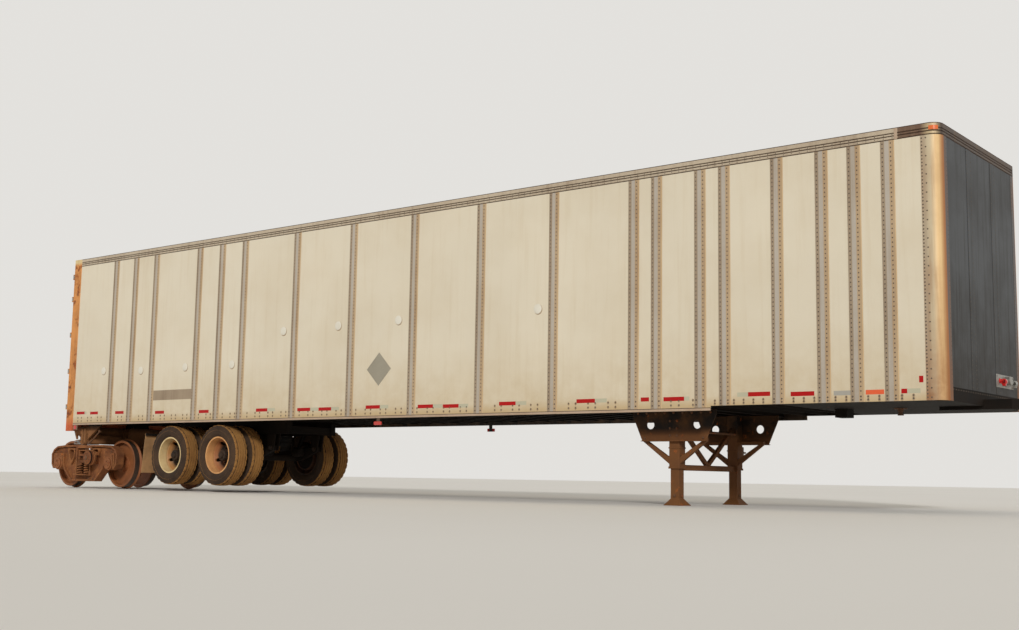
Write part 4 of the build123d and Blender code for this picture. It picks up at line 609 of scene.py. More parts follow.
# Darker deeper into the dish: golden-brown rust, then near black for grease with painted shade in
# the dish's recess.
RIM_CREAM = Finish("rim_cream_paint", srgb(222, 196, 144), roughness=0.5, dirt=srgb(170, 124, 74),
                   blotches=0.4, dirt_scale=4.0, rust=0.1, rust_scale=9.0,
                   bands=(Band(srgb(168, 116, 62), "Y", 1.105, 1.06),
                          Band(srgb(34, 26, 21), "Y", 1.035, 0.985)))
# Same darkening into the dish as the cream rim: rust, grease and painted shade in the recess.
RIM_RUST = Finish("rim_rusting", srgb(222, 166, 106), roughness=0.6, dirt=srgb(150, 92, 52),
                  blotches=0.5, dirt_scale=4.0, rust=0.25, rust_scale=8.0,
                  bands=(Band(srgb(160, 102, 58), "Y", 1.105, 1.06),
                         Band(srgb(34, 25, 20), "Y", 1.035, 0.985)))
HUB = Finish("hub_dark", srgb(40, 31, 25), roughness=0.7, dirt=srgb(84, 62, 44), blotches=0.5,
             dirt_scale=6.0, rust=0.15, rust_scale=9.0, specular=0.25)
FLAP = Finish("mud_flap_rubber", srgb(190, 146, 98), Surface.RUBBER, roughness=0.85,
              dirt=srgb(150, 110, 70), blotches=0.4, runs=0.3, grain=60.0, depth=0.001)
WOOD = Finish("floor_planks", srgb(150, 112, 74), Surface.WOOD, roughness=0.6,
              dirt=srgb(86, 70, 54), blotches=0.5, dirt_scale=2.0)
ALUMINIUM = Finish("roof_skin", srgb(158, 154, 146), Surface.METAL, roughness=0.85,
                   specular=0.1, dirt=srgb(126, 115, 98), blotches=0.6, dirt_scale=0.7)
GALVANISED = Finish("galvanised_steel", srgb(158, 156, 150), Surface.METAL, roughness=0.45,
                    metallic=0.7, dirt=srgb(118, 92, 66), blotches=0.45, dirt_scale=6.0,
                    rust=0.2, rust_scale=9.0)
RUSTY_STEEL = Finish("rusty_steel", srgb(98, 68, 46), Surface.METAL, roughness=0.65, metallic=0.2,
                     dirt=srgb(132, 88, 54), blotches=0.5, dirt_scale=6.0, rust=0.4,
                     rust_scale=9.0)
BELLOWS = Finish("bellows_moulding", srgb(36, 34, 32), Surface.RUBBER, roughness=0.7,
                 dirt=srgb(96, 80, 62), blotches=0.4, dirt_scale=5.0)
RED_LENS = Finish("red_lens", srgb(196, 26, 22), Surface.LENS, roughness=0.18, blotches=0.15,
                  coat=0.6, grain=140.0, depth=0.0006)
AMBER_LENS = Finish("amber_lens", srgb(222, 104, 30), Surface.LENS, roughness=0.2, blotches=0.15,
                    coat=0.6, grain=140.0, depth=0.0006)
RED_TAPE = Finish("red_tape", srgb(176, 12, 14), Surface.TAPE, roughness=0.45, blotches=0.15,
                  specular=0.25, dirt=srgb(140, 50, 36), dirt_scale=6.0, grain=220.0, depth=0.0002)
ORANGE_TAPE = Finish("faded_tape", srgb(228, 92, 48), Surface.TAPE, roughness=0.4, blotches=0.2,
                     dirt=srgb(232, 150, 90), dirt_scale=6.0, grain=220.0, depth=0.0002)
WHITE_TAPE = Finish("pale_tape", srgb(188, 184, 158), Surface.TAPE, roughness=0.35,
                    blotches=0.25, dirt=srgb(176, 162, 134), dirt_scale=6.0, grain=220.0,
                    depth=0.0002)
GREY_TAPE = Finish("grey_tape", srgb(168, 163, 152), Surface.TAPE, roughness=0.4, blotches=0.2,
                   dirt=srgb(150, 140, 120), dirt_scale=6.0, grain=220.0, depth=0.0002)
DISC = Finish("white_disc", srgb(228, 222, 206), roughness=0.3, blotches=0.2,
              dirt=srgb(186, 172, 144), dirt_scale=6.0, grain=120.0, depth=0.0003)
PLASTIC = Finish("grey_plastic", srgb(158, 151, 134), roughness=0.55, blotches=0.35,
                 dirt=srgb(112, 98, 80), grain=80.0)

SLOT_FINISH = {
    "panel_white": PANEL, "post_taupe": POST, "rail_taupe": RAIL, "frame_rust": REAR_FRAME,
    "underframe_black": BLACK_AND_SHADE, "gear_brown": GEAR, "cast_brown": CASTING, "wheel_steel": WHEEL,
    "tyre_rubber": TYRE, "rim_cream": RIM_CREAM, "rim_rust": RIM_RUST, "floor_wood": WOOD,
    "sheet_aluminium": ALUMINIUM, "bow_steel": GALVANISED, "door_white": DOOR,
    "hardware_steel": GALVANISED, "lamp_red": RED_LENS, "flap_tan": FLAP,
    "bellows_rubber": BELLOWS,
}
NODE_FINISH = {
    "corner_post_right": CORNER, "corner_post_left": CORNER, "front_wall": NOSE_PAINTED_SHADE,
    "base_rail_right": BASE_RAIL, "base_rail_left": BASE_RAIL, "bogie_adapter": ADAPTER,
    "kingpin": RUSTY_STEEL, "landing_crank": RUSTY_STEEL,
}

# Outlines of turned parts: distance along the axis, and radius, which for a disc is a share.
PROFILES: dict[str, Pairs] = {
    "disc": ((0, 1), (0.0030, 1), (0.0052, 0.88), (0.0063, 0.55), (0.0067, 0)),
    "socket": ((0, 0.055), (0.012, 0.055), (0.014, 0.044), (0.06, 0.044), (0.062, 0.05),
               (0.07, 0.05), (0.073, 0.046), (0.073, 0)),
    "coupling_stem": ((0, 0.03), (0.01, 0.03), (0.012, 0.02), (0.045, 0.02), (0.045, 0)),
    "coupling_head": ((-0.016, 0.02), (-0.012, 0.036), (0.012, 0.036), (0.016, 0.02),
                      (0.018, 0)),
    "lamp_ring": ((0, 0.066), (0.009, 0.066), (0.013, 0.062), (0.013, 0.053), (0, 0.053)),
    "foot_pin": ((0, 0.018), (0.012, 0.018), (0.014, 0.012), (0.014, 0)),
    "stud": ((0.028, 0.011), (0.046, 0.011), (0.048, 0.009), (0.048, 0)),
    "oil_cap": ((0.186, 0.052), (0.206, 0.050), (0.216, 0.044), (0.220, 0.030), (0.222, 0)),
    "hub": ((0.011, 0.112), (0.011, 0.1135), (0.128, 0.0895), (0.179, 0.0855),
            (0.1875, 0.0715), (0.1875, 0)),
    "lock_plate": ((0, 0.024), (0.006, 0.024), (0.010, 0.012), (0.010, 0)),
    "bearing": ((-0.060, 0.0855), (-0.060, 0.112), (-0.045, 0.118), (-0.030, 0.118),
                (-0.026, 0.112), (-0.026, 0.098)),
    "running_band": ((0.722, 0.4190), (0.722, 0.4198), (0.812, 0.4163), (0.812, 0.4155)),
    "clamp_ring": ((0.001, 0.1245), (0.001, 0.1285), (0.024, 0.1285), (0.024, 0.1245)),
    "rod_nut": ((0.0, 0.045), (0.006, 0.045), (0.008, 0.040), (0.008, 0)),
}


def row(start: float, end: float, pitch: float) -> list[float]:
    """Even places from one end of a stretch to the other, about a pitch apart."""
    count = max(1, round((end - start) / pitch))
    return [start + (end - start) * number / count for number in range(count + 1)]


def curve(points: list[Point], steps: int) -> list[Vector]:
    """Smooth run of points that passes through the given ones.

    Args:
        points: Points that it passes through.
        steps: Points made for each stretch.

    Returns:
        Points along the smooth run.
    """
    places = [Vector(point) for point in points]
    ends = [2 * places[0] - places[1], *places, 2 * places[-1] - places[-2]]
    run = []
    for before, one, two, after in zip(ends, ends[1:], ends[2:], ends[3:]):
        for step in range(steps):
            share = step / steps
            run.append(0.5 * (2 * one + (two - before) * share
                              + (2 * before - 5 * one + 4 * two - after) * share ** 2
                              + (3 * one - before - 3 * two + after) * share ** 3))
    return run + [places[-1]]


def oval(width: float, height: float, count: int) -> list[Pair]:
    """Corners of an oval, from its half width and its half height."""
    turns = [math.radians(360 * number / count) for number in range(count)]
    return [(width * math.cos(turn), height * math.sin(turn)) for turn in turns]


def around(centre: Point, radius: float, count: int, start: float = 0.0) -> list[Point]:
    """Even places round an axle that runs across, the first at an angle in degrees."""
    x, y, z = centre
    turns = [math.radians(start + 360 * number / count) for number in range(count)]
    return [(x + radius * math.cos(turn), y, z + radius * math.sin(turn)) for turn in turns]


def moved(place: Point, by: Point) -> Point:
    """A place moved by a distance on each axis."""
    return place[0] + by[0], place[1] + by[1], place[2] + by[2]


def rims(corners: list[Pair], share: float) -> list[list[Pair]]:
    """Strip along each side of an outline, in to a share of its size."""
    ends = [Vector(corner) for corner in corners]
    return [[tuple(one), tuple(two), tuple(two * share), tuple(one * share)]
            for one, two in zip(ends, ends[1:] + ends[:1])]


class Form:
    """A mesh piece, gathered from simple forms before it becomes an object.

    Attributes:
        name: Plain name of the piece.
        mesh: The mesh that is being built.
    """

    def __init__(self, name: str) -> None:
        """Start an empty piece."""
        self.name = name
        self.mesh = bmesh.new()

    def ring(self, centre: Vector, side: Vector, up: Vector, radius: float, steps: int) -> list:
        """Vertices of one circle, or one vertex where the radius is nil."""
        if radius < 1e-6:
            return [self.mesh.verts.new(centre)]
        turn = 2 * math.pi / steps
        return [self.mesh.verts.new(centre + radius * (math.cos(step * turn) * side
                                                       + math.sin(step * turn) * up))
                for step in range(steps)]

    def bridge(self, one: list, two: list) -> None:
        """Make the faces between two rings, or between a ring and a point."""
        count = max(len(one), len(two))
        if count < 3:
            return
        for step in range(count):
            corners = [one[step % len(one)], one[(step + 1) % len(one)],
                       two[(step + 1) % len(two)], two[step % len(two)]]
            self.mesh.faces.new(list(dict.fromkeys(corners)))

    def lathe(self, profile: list[Pair] | Pairs, centre: Point, axis: Point,
              steps: int, closed: bool = False) -> None:
        """Revolve a profile.

        Args:
            profile: Points given as distance along the axis and radius.
            centre: Where the distance along the axis is zero.
            axis: Direction of the axis.
            steps: Points round each circle.
            closed: Whether the last point joins the first.
        """
        direction = Vector(axis).normalized()
        side = direction.orthogonal().normalized()
        up = direction.cross(side)
        rings = [self.ring(Vector(centre) + along * direction, side, up, radius, steps)
                 for along, radius in profile]
        for one, two in zip(rings, rings[1:]):
            self.bridge(one, two)
        if closed:
            self.bridge(rings[-1], rings[0])

    def rivet(self, centre: Point, axis: Point, radius: float, height: float) -> None:
        """Low round head."""
        self.lathe(((0, radius), (0.65 * height, 0.75 * radius), (height, 0)), centre, axis, 6)

    def bolt(self, centre: Point, axis: Point, radius: float, height: float) -> None:
        """Hexagon head on a washer."""
        washer = 0.2 * height
        self.lathe(((0, 1.3 * radius), (washer, 1.3 * radius), (washer, 0.9 * radius)),
                   centre, axis, 14)
        self.lathe(((washer, radius), (0.88 * height, radius), (height, 0.84 * radius),
                    (height, 0)), centre, axis, 6)

    def pin(self, centre: Point, axis: Point, radius: float, start: float, end: float,
            steps: int) -> None:
        """Plain round pin between two distances along an axis."""
        self.lathe(((start, 0), (start, radius), (end, radius), (end, 0)), centre, axis, steps)

    def tube(self, path: list, radius: float, steps: int) -> None:
        """Round bar along a run of points."""
        points = [Vector(point) for point in path]
        last = len(points) - 1
        side = None
        rings = []
        for number, point in enumerate(points):
            before = points[number - 1] if number else point
            after = points[number + 1] if number < last else point
            along = (after - before).normalized()
            side = along.orthogonal() if side is None else side - along * side.dot(along)
            side.normalize()
            rings.append(self.ring(point, side, along.cross(side), radius, steps))
        for one, two in zip(rings, rings[1:]):
            self.bridge(one, two)
        self.mesh.faces.new(rings[0])
        self.mesh.faces.new(rings[-1])

    def prism(self, outline: list[Pair], origin: Point, right: Point, up: Point,
              depth: float) -> None:
        """Plate from an outline.

        Args:
            outline: Corners, as distances along right and up.
            origin: Where both distances are zero.
            right: First direction of the outline.
            up: Second direction of the outline.
            depth: Thickness, along right turned to up.
        """
        across, rise = Vector(right), Vector(up)
        push = across.cross(rise).normalized() * depth
        near = [self.mesh.verts.new(Vector(origin) + first * across + second * rise)
                for first, second in outline]
        far = [self.mesh.verts.new(vertex.co + push) for vertex in near]
        self.bridge(near, far)
        self.mesh.faces.new(near)
        self.mesh.faces.new(far)

    def block(self, low: Point, high: Point, edge: float = 0.002) -> None:
        """Bar between two corners, with rounded edges."""
        middle = (Vector(low) + Vector(high)) / 2
        size = Vector(high) - Vector(low)
        made = bmesh.ops.create_cube(self.mesh, size=1.0)["verts"]
        for vertex in made:
            vertex.co = middle + vertex.co * size
        edges = list(dict.fromkeys(each for vertex in made for each in vertex.link_edges))
        bmesh.ops.bevel(self.mesh, geom=edges, offset=edge, segments=2, affect="EDGES",
                        profile=0.5)

    def place(self, finish: Finish, slot: str, body: str = "trailer",
              replaces: tuple[str, ...] = (), angle: float = 32.0,
              second: Finish | None = None) -> bpy.types.Object:
        """Turn the form into an object that rides on a body.

        Args:
            finish: Its finish.
            slot: The record's material slot that it belongs to; not used.
            body: The body that carries it.
            replaces: Model pieces that it stands for.
            angle: Edges that turn by more degrees than this stay sharp.
            second: Finish of the faces whose material number is 1.

        Returns:
            The new object.
        """
        bmesh.ops.recalc_face_normals(self.mesh, faces=self.mesh.faces)
        data = bpy.data.meshes.new(self.name)
        self.mesh.to_mesh(data)
        self.mesh.free()
        data.shade_smooth()
        data.set_sharp_from_angle(angle=math.radians(angle))
        data.materials.append(finish.material())
        if second:
            data.materials.append(second.material())
        piece = bpy.data.objects.new(self.name, data)
        bpy.context.scene.collection.objects.link(piece)
        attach(piece, body)
        if replaces:
            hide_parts(*replaces)
        LOG.info("%s: %d faces on %s", self.name, len(data.polygons), body)
        return piece


def dress_model() -> None:
    """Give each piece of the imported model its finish."""
    slots = {piece["node"]: piece["material_slot"] for piece in frame["record"]["subparts"]}
    for name, node in frame["nodes"].items():
        finish = NODE_FINISH.get(name) or SLOT_FINISH[slots[name]]
        node.data.materials.clear()
        node.data.materials.append(finish.material())
        LOG.info("%s: %s", name, finish.name)


@dataclass
class SideWall:
    """Rivets, painted light and shade on posts, stains, tape, discs with painted shadows, placard
    holder of a wall.

    Attributes:
        side: "right" or "left".
        sign: -1 on the right, 1 on the left.
        posts: Middles of the splice posts, from the rear face.
        post_width: Width of a splice post.
        post_edges: Parts of a post that differ: name, finish, start and end from its middle.
        band: Start, end, bottom and top of the cross band.
        edge_depth: Thickness of the post edges and the stains.
        rivet_columns: Rivet columns of a post, from its middle.
        rivet_pitch: Distance between a post's rivets.
        rivet: Radius and height of a rivet head.
        rivet_margin: Gap between the end of a rivet row and the wall's edge.
        foot_gap: Gap between the foot's upper row and a post's lowest rivet.
        bolt_radius: Radius of the heads at the wall's foot.
        bolt_rows: Heights of the foot's two rows, above the foot.
        nose_rows: The same from the coupler to the nose.
        beams: First and last crossmember, from the rear face.
        beam_pitch: Distance between the crossmembers, each with a pair of heads in each row.
        pair: Half of the distance between the heads of a pair.
        nose_heads: First and last head from the coupler to the nose.
        nose_pitch: Distance between the heads from the coupler to the nose.
        head_gap: Least gap between a head and a post.
        corner_gap: Stretch before the corner's round that the corner post covers.
        corner_columns: Rivet columns of the corner post, from where its round starts, and pitch.
        stain_drop: How far the dirt hangs below its head.
        seam_height: Height of the dark joint at the foot.
        tapes: Red strips: start, end, height of the middle, and end of the pale strip, or nil.
        odd_tapes: Strips of other colours: finish, start, end, height.
        tape_width: Width of a tape.
        tape_depth: Thickness of a tape.
        tape_gap: Gap between a red strip and its pale partner.
        marker: Upright reflector's start, end, bottom and top.
        discs: White discs, from the rear face and above the wall's foot.
        disc_radius: Radius of a disc.
        shadow_share: Width and height of the painted shadow beside a disc, as shares of the
            disc's.
        dirt_shift: How far the painted shadow reaches past the disc, to the nose and down.
        holder: Placard holder's middle, from the rear face and above the wall's foot.
        holder_size: Half of the holder's diagonal.
    """

    side: str
    sign: int
    posts: tuple[float, ...] = (1.319, 1.904, 2.491, 3.679, 4.259, 4.836, 6.076, 7.318, 8.559,
                                9.800, 11.041, 12.282, 12.616, 13.228, 13.556, 14.242, 14.797,
                                15.183, 15.575)
    post_width: float = 0.16
    post_light_and_shade: tuple[tuple[str, Finish, float, float], ...] = (
        ("rear", POST_SHADE_AND_BAND, -0.080, -0.034), ("front", POST_FRONT_LIT, 0.018, 0.070),
        ("lip", POST_LIP_HIGHLIGHT, 0.070, 0.080))
    band: tuple[float, float, float, float] = (2.571, 3.599, BAND_LOW, BAND_HIGH)
    edge_depth: float = 0.0004
    rivet_columns: Pair = (-0.057, 0.038)
    rivet_pitch: float = 0.05
    rivet: Pair = (0.0095, 0.0034)
    rivet_margin: float = 0.03
    foot_gap: float = 0.06
    bolt_radius: float = 0.0105
    bolt_rows: Pair = (0.036, 0.092)
    nose_rows: Pair = (0.024, 0.059)
    beams: Pair = (0.42, 13.18)
    beam_pitch: float = 0.305
    pair: float = 0.055
    nose_heads: Pair = (13.42, 15.93)
    nose_pitch: float = 0.125
    head_gap: float = 0.02
    corner_gap: float = 0.08
    corner_columns: Pairs = ((-0.066, 0.038), (-0.022, 0.098))
    stain_drop: float = 0.003
    seam_height: float = 0.0075
    tapes: tuple[tuple[float, float, float, float], ...] = (
        (0.322, 0.565, 1.343, 0.62), (0.739, 0.976, 1.335, 0), (1.497, 1.745, 1.330, 0),
        (2.643, 2.892, 1.311, 0), (3.824, 4.074, 1.302, 0), (5.245, 5.512, 1.297, 5.69),
        (6.201, 6.488, 1.285, 6.66), (6.670, 6.944, 1.283, 7.11), (7.665, 7.952, 1.291, 8.12),
        (8.692, 8.978, 1.278, 9.15), (9.160, 9.448, 1.272, 9.62), (10.160, 10.440, 1.283, 10.62),
        (11.426, 11.710, 1.285, 11.89), (12.392, 12.510, 1.282, 0),
        (12.717, 13.004, 1.277, 13.075), (13.854, 14.135, 1.305, 13.715),
        (14.389, 14.676, 1.293, 0), (15.672, 15.736, 1.289, 15.88))
    odd_tapes: tuple[tuple[Finish, float, float, float], ...] = (
        (GREY_TAPE, 14.906, 15.101, 1.288), (ORANGE_TAPE, 15.275, 15.482, 1.288))
    tape_width: float = 0.05
    tape_depth: float = 0.0006
    tape_gap: float = 0.001
    marker: tuple[float, float, float, float] = (15.868, 15.914, 1.375, 1.445)
    discs: Pairs = ((1.080, 0.915), (2.178, 0.88), (3.404, 0.888), (4.607, 0.88),
                    (5.820, 1.349), (7.036, 1.357), (8.274, 1.363), (10.788, 1.349))
    disc_radius: float = 0.065
    shadow_share: Pair = (1.03, 1.08)
    dirt_shift: float = 0.008
    holder: Pair = (7.91, 0.672)
    holder_size: float = 0.24

    @property
    def face(self) -> float:
        """Y of the panel's outer face."""
        return self.sign * PANEL_FACE

    @property
    def post_face(self) -> float:
        """Y of the posts' outer face."""
        return self.sign * POST_FACE

    @property
    def out(self) -> Point:
        """Direction out of the wall."""
        return 0.0, float(self.sign), 0.0

    def foot(self, distance: float) -> float:
        """Height of the wall's lower edge at a distance from the rear face."""
        return WALL_BOTTOM if distance < COUPLER_START else COUPLER_BOTTOM

    def free_stretches(self) -> list[Pair]:
        """Stretches of bare panel between the posts."""
        half = self.post_width / 2
        ends = [REAR_POST_LENGTH, *self.posts, CORNER_START - REAR_FACE]
        starts = [ends[0], *(end + half for end in ends[1:-1])]
        stops = [*(end - half for end in ends[1:-1]), ends[-1] - self.corner_gap]
        return list(zip(starts, stops))

    def bare(self, place: float) -> bool:
        """Whether a place is on bare panel, clear of the posts."""
        return any(low + self.head_gap < place < high - self.head_gap
                   for low, high in self.free_stretches())

    def lay(self, form: Form, outline: list[Pair], place: float, height: float, face: float,
            depth: float) -> None:
        """Thin upright sheet of any outline on the wall."""
        form.prism(outline, (at(place), face, height), (1, 0, 0), (0, 0, 1), -self.sign * depth)

    def plate(self, form: Form, start: float, end: float, low: float, high: float,
              face: float, depth: float) -> None:
        """Thin upright plate on the wall."""
        outline = [(0.0, 0.0), (end - start, 0.0), (end - start, high - low), (0.0, high - low)]
        self.lay(form, outline, start, low, face, depth)

    def post_plates(self) -> None:
        """Painted shade on every post's rear edge, painted light and a painted highlight on its
        front, and the darker cross band.
        """
        for name, finish, start, end in self.post_light_and_shade:
            form = Form(f"post_edges_{name}_{self.side}")
            for post in self.posts:
                self.plate(form, post + start, post + end, self.foot(post), WALL_TOP,
                           self.post_face, self.edge_depth)
            if name == "rear":
                self.plate(form, *self.band, self.post_face, self.edge_depth)
            form.place(finish, "post_taupe")

    def foot_heads(self) -> list[Pair]:
        """Places and heights of the heads on the bare panel along the foot."""
        heads = []
        for beam in row(*self.beams, self.beam_pitch):
            for place in (beam - self.pair, beam + self.pair):
                heads += [(place, WALL_BOTTOM + rise) for rise in self.bolt_rows]
        for place in row(*self.nose_heads, self.nose_pitch):
            heads += [(place, COUPLER_BOTTOM + rise) for rise in self.nose_rows]
        return [(place, height) for place, height in heads if self.bare(place)]

    def rivets(self) -> None:
        """Rivets of the posts, the foot and the corner post."""
        form = Form(f"wall_rivets_{self.side}")
        radius, depth = self.rivet
        wide, deep = 1.2, 1.4
        top = WALL_TOP - self.rivet_margin
        for post in self.posts:
            foot = self.foot(post)
            rows = self.bolt_rows if post < COUPLER_START else self.nose_rows
            for column in self.rivet_columns:
                place = at(post + column)
                for height in row(foot + rows[1] + self.foot_gap, top, self.rivet_pitch):
                    form.rivet((place, self.post_face, height), self.out, radius, depth)
                for rise in rows:
                    form.rivet((place, self.post_face, foot + rise), self.out,
                               wide * self.bolt_radius, depth)
        for place, height in self.foot_heads():
            form.rivet((at(place), self.face, height), self.out, self.bolt_radius, deep * depth)
        for column, pitch in self.corner_columns:
            for height in row(COUPLER_BOTTOM + self.rivet_margin, top, pitch):
                form.rivet((CORNER_START + column, self.post_face, height), self.out, radius,
                           depth)
        form.place(RIVET, "post_taupe")

    def stains(self) -> None:
        """Dirt round the heads along the foot."""
        form = Form(f"head_stains_{self.side}")
        outline = [(across, up - self.stain_drop) for across, up in oval(0.017, 0.021, 8)]
        for place, height in self.foot_heads():
            self.lay(form, outline, place, height, self.face, self.edge_depth)
        form.place(STAIN_AND_SHADOW, "panel_white")

    def seams(self) -> None:
        """Dark joint between the panels and the base rail."""
        form = Form(f"foot_seam_{self.side}")
        self.plate(form, REAR_POST_LENGTH + POST_GAP, COUPLER_START,
                   WALL_BOTTOM - self.seam_height, WALL_BOTTOM, self.post_face, self.edge_depth)
        form.place(SEALANT_AND_SHADE, "underframe_black")

    def strip(self, form: Form, start: float, end: float, height: float) -> None:
        """Thin strip of tape on the panel."""
        half = self.tape_width / 2
        self.plate(form, start, end, height - half, height + half, self.face, self.tape_depth)

    def tape(self) -> None:
        """Red strips with their pale partners, the strips of other colours and the reflector."""
        red = Form(f"red_tape_{self.side}")
        white = Form(f"white_tape_{self.side}")
        for start, end, height, pale in self.tapes:
            self.strip(red, start, end, height)
            if pale > end:
                self.strip(white, end + self.tape_gap, pale, height)
            elif pale:
                self.strip(white, pale, start - self.tape_gap, height)
        self.plate(red, *self.marker, self.face, self.tape_depth)
        red.place(RED_TAPE, "lamp_red")
        white.place(WHITE_TAPE, "panel_white")
        for finish, start, end, height in self.odd_tapes:
            form = Form(f"{finish.name}_{self.side}")
            self.strip(form, start, end, height)
            form.place(finish, "lamp_red")

    def domes(self) -> None:
        """Domed discs, and the painted shadow crescent beside each, towards the nose and down."""
        form = Form(f"wall_discs_{self.side}")
        # Painted shadow: a slightly larger dark oval beside each disc, shifted to the nose and
        # down.
        dirt = Form(f"disc_dirt_{self.side}")
        profile = [(out, share * self.disc_radius) for out, share in PROFILES["disc"]]
        outline = oval(*(self.disc_radius * share for share in self.shadow_share), 24)
        for place, rise in self.discs:
            height = WALL_BOTTOM + rise
            form.lathe(profile, (at(place), self.face, height), self.out, 28)
            self.lay(dirt, outline, place + self.dirt_shift, height - self.dirt_shift, self.face,
                     self.edge_depth)
        form.place(DISC, "panel_white", angle=24)
        dirt.place(STAIN_AND_SHADOW, "panel_white")

    def placard(self) -> None:
        """Blank diamond holder with its rim."""
        form = Form(f"placard_holder_{self.side}")
        size = self.holder_size
        place, height = self.holder[0], WALL_BOTTOM + self.holder[1]
        plate, rim = 0.002, 0.0018
        diamond = [(size, 0.0), (0.0, size), (-size, 0.0), (0.0, -size)]
        self.lay(form, diamond, place, height, self.face, plate)
        for strip in rims(diamond, 0.93):
            self.lay(form, strip, place, height, self.sign * (PANEL_FACE + plate), rim)
        form.place(PLASTIC, "rail_taupe")

    def build(self) -> None:
        """Make every fitting of the wall."""
        self.post_plates()
        self.rivets()
        self.stains()
        self.seams()
        self.tape()
        self.domes()
        self.placard()


@dataclass
class RoofEdge:
    """Sealant bead, painted shade in the grooves, rivets, joint sleeves and corner lamps of the
    top rails.

    Attributes:
        beads: Beads round the rails, the lower three painted shade in the grooves: inside the
            outer face, above the rail's foot, radius.
        rivets: First and last rivet, from the rear face.
        rivet_rises: Heights of the rivet rows, above the rail's foot.
        rivet_pitch: Distance between rivets.
        sleeve: Start and end of the joint sleeve, from the rear face.
        sleeve_depths: How far the sleeve reaches into the rail and out of it.
        sleeve_gaps: Gaps between the sleeve and the rail's foot and top.
        lamp: Start, end and step of a corner lamp, in degrees round the corner from the side.
        lamp_heights: Bottom and top of a corner lamp.
        lamp_reach: Distance of a lamp's face from the corner's middle, and the most across.
    """

    beads: tuple[Trio, ...] = (
        (0.0040, 0.0050, 0.0038), (0.0040, 0.0440, 0.0034), (0.0040, 0.0740, 0.0034),
        (0.0045, 0.1303, 0.0045))
    rivets: Pair = (0.24, BODY_LENGTH - 0.22)
    rivet_rises: Pair = (0.025, 0.059)
    rivet_pitch: float = 0.1
    sleeve: Pair = (15.655, 15.690)
    sleeve_depths: Pair = (0.002, 0.0022)
    sleeve_gaps: Pair = (0.003, 0.008)
    lamp: Trio = (6, 48, 6)
    lamp_heights: Pair = (4.090, 4.134)
    lamp_reach: Pair = (0.142, 0.1330)

    def path(self, inset: float, height: float) -> list[Point]:
        """Line along the right rail, across the nose and back along the left rail."""
        reach = CORNER_RADIUS - inset
        half = POST_FACE - CORNER_RADIUS
        start = at(REAR_POST_LENGTH + POST_GAP)
        points = [(start, inset - POST_FACE, height)]
        for sign, turns in ((-1, range(0, 91, 10)), (1, range(90, -1, -10))):
            for turn in turns:
                angle = math.radians(turn)
                points.append((CORNER_START + reach * math.sin(angle),
                               sign * (half + reach * math.cos(angle)), height))
        return [*points, (start, POST_FACE - inset, height)]

    def corner_lamp(self, side: str, sign: int) -> None:
        """Amber lamp that follows the rail's round corner."""
        form = Form(f"corner_lamp_{side}")
        low, high = self.lamp_heights
        turns = [math.radians(angle) for angle in row(*self.lamp)]
        outer = [(min(self.lamp_reach[0], self.lamp_reach[1] / math.cos(turn)), turn)
                 for turn in turns]
        inner = [(CORNER_RADIUS - 0.002, turn) for turn in reversed(turns)]
        outline = [(reach * math.sin(turn), sign * reach * math.cos(turn))
                   for reach, turn in outer + inner]
        form.prism(outline, (CORNER_START, sign * (POST_FACE - CORNER_RADIUS), low), (1, 0, 0),
                   (0, 1, 0), high - low)
        form.place(AMBER_LENS, "lamp_red")

    def build(self) -> None:
        """Make every fitting of the roof's edge."""
        # The lower three beads are painted shade and dirt in the rail's grooves; the top one is
        # the dark sealant line.
        form = Form("roof_bead_and_groove_shade")
        for inset, rise, radius in self.beads:
            form.tube(self.path(inset, WALL_TOP + rise), radius, 6)
        form.place(SEALANT_AND_SHADE, "underframe_black")
        rivets = Form("top_rail_rivets")
        sleeves = Form("rail_sleeves")
        for side, sign in SIDES:
            face = sign * POST_FACE
            for place in row(*self.rivets, self.rivet_pitch):
                for rise in self.rivet_rises:
                    rivets.rivet((at(place), face, WALL_TOP + rise), (0, sign, 0), 0.006, 0.003)
            near, far = sorted((face - sign * self.sleeve_depths[0],
                                face + sign * self.sleeve_depths[1]))
            sleeves.block((at(self.sleeve[0]), near, WALL_TOP + self.sleeve_gaps[0]),
                          (at(self.sleeve[1]), far, RAIL_TOP - self.sleeve_gaps[1]),
                          0.0008)
            self.corner_lamp(side, sign)
        rivets.place(RIVET, "post_taupe")
        sleeves.place(BASE_RAIL, "rail_taupe")


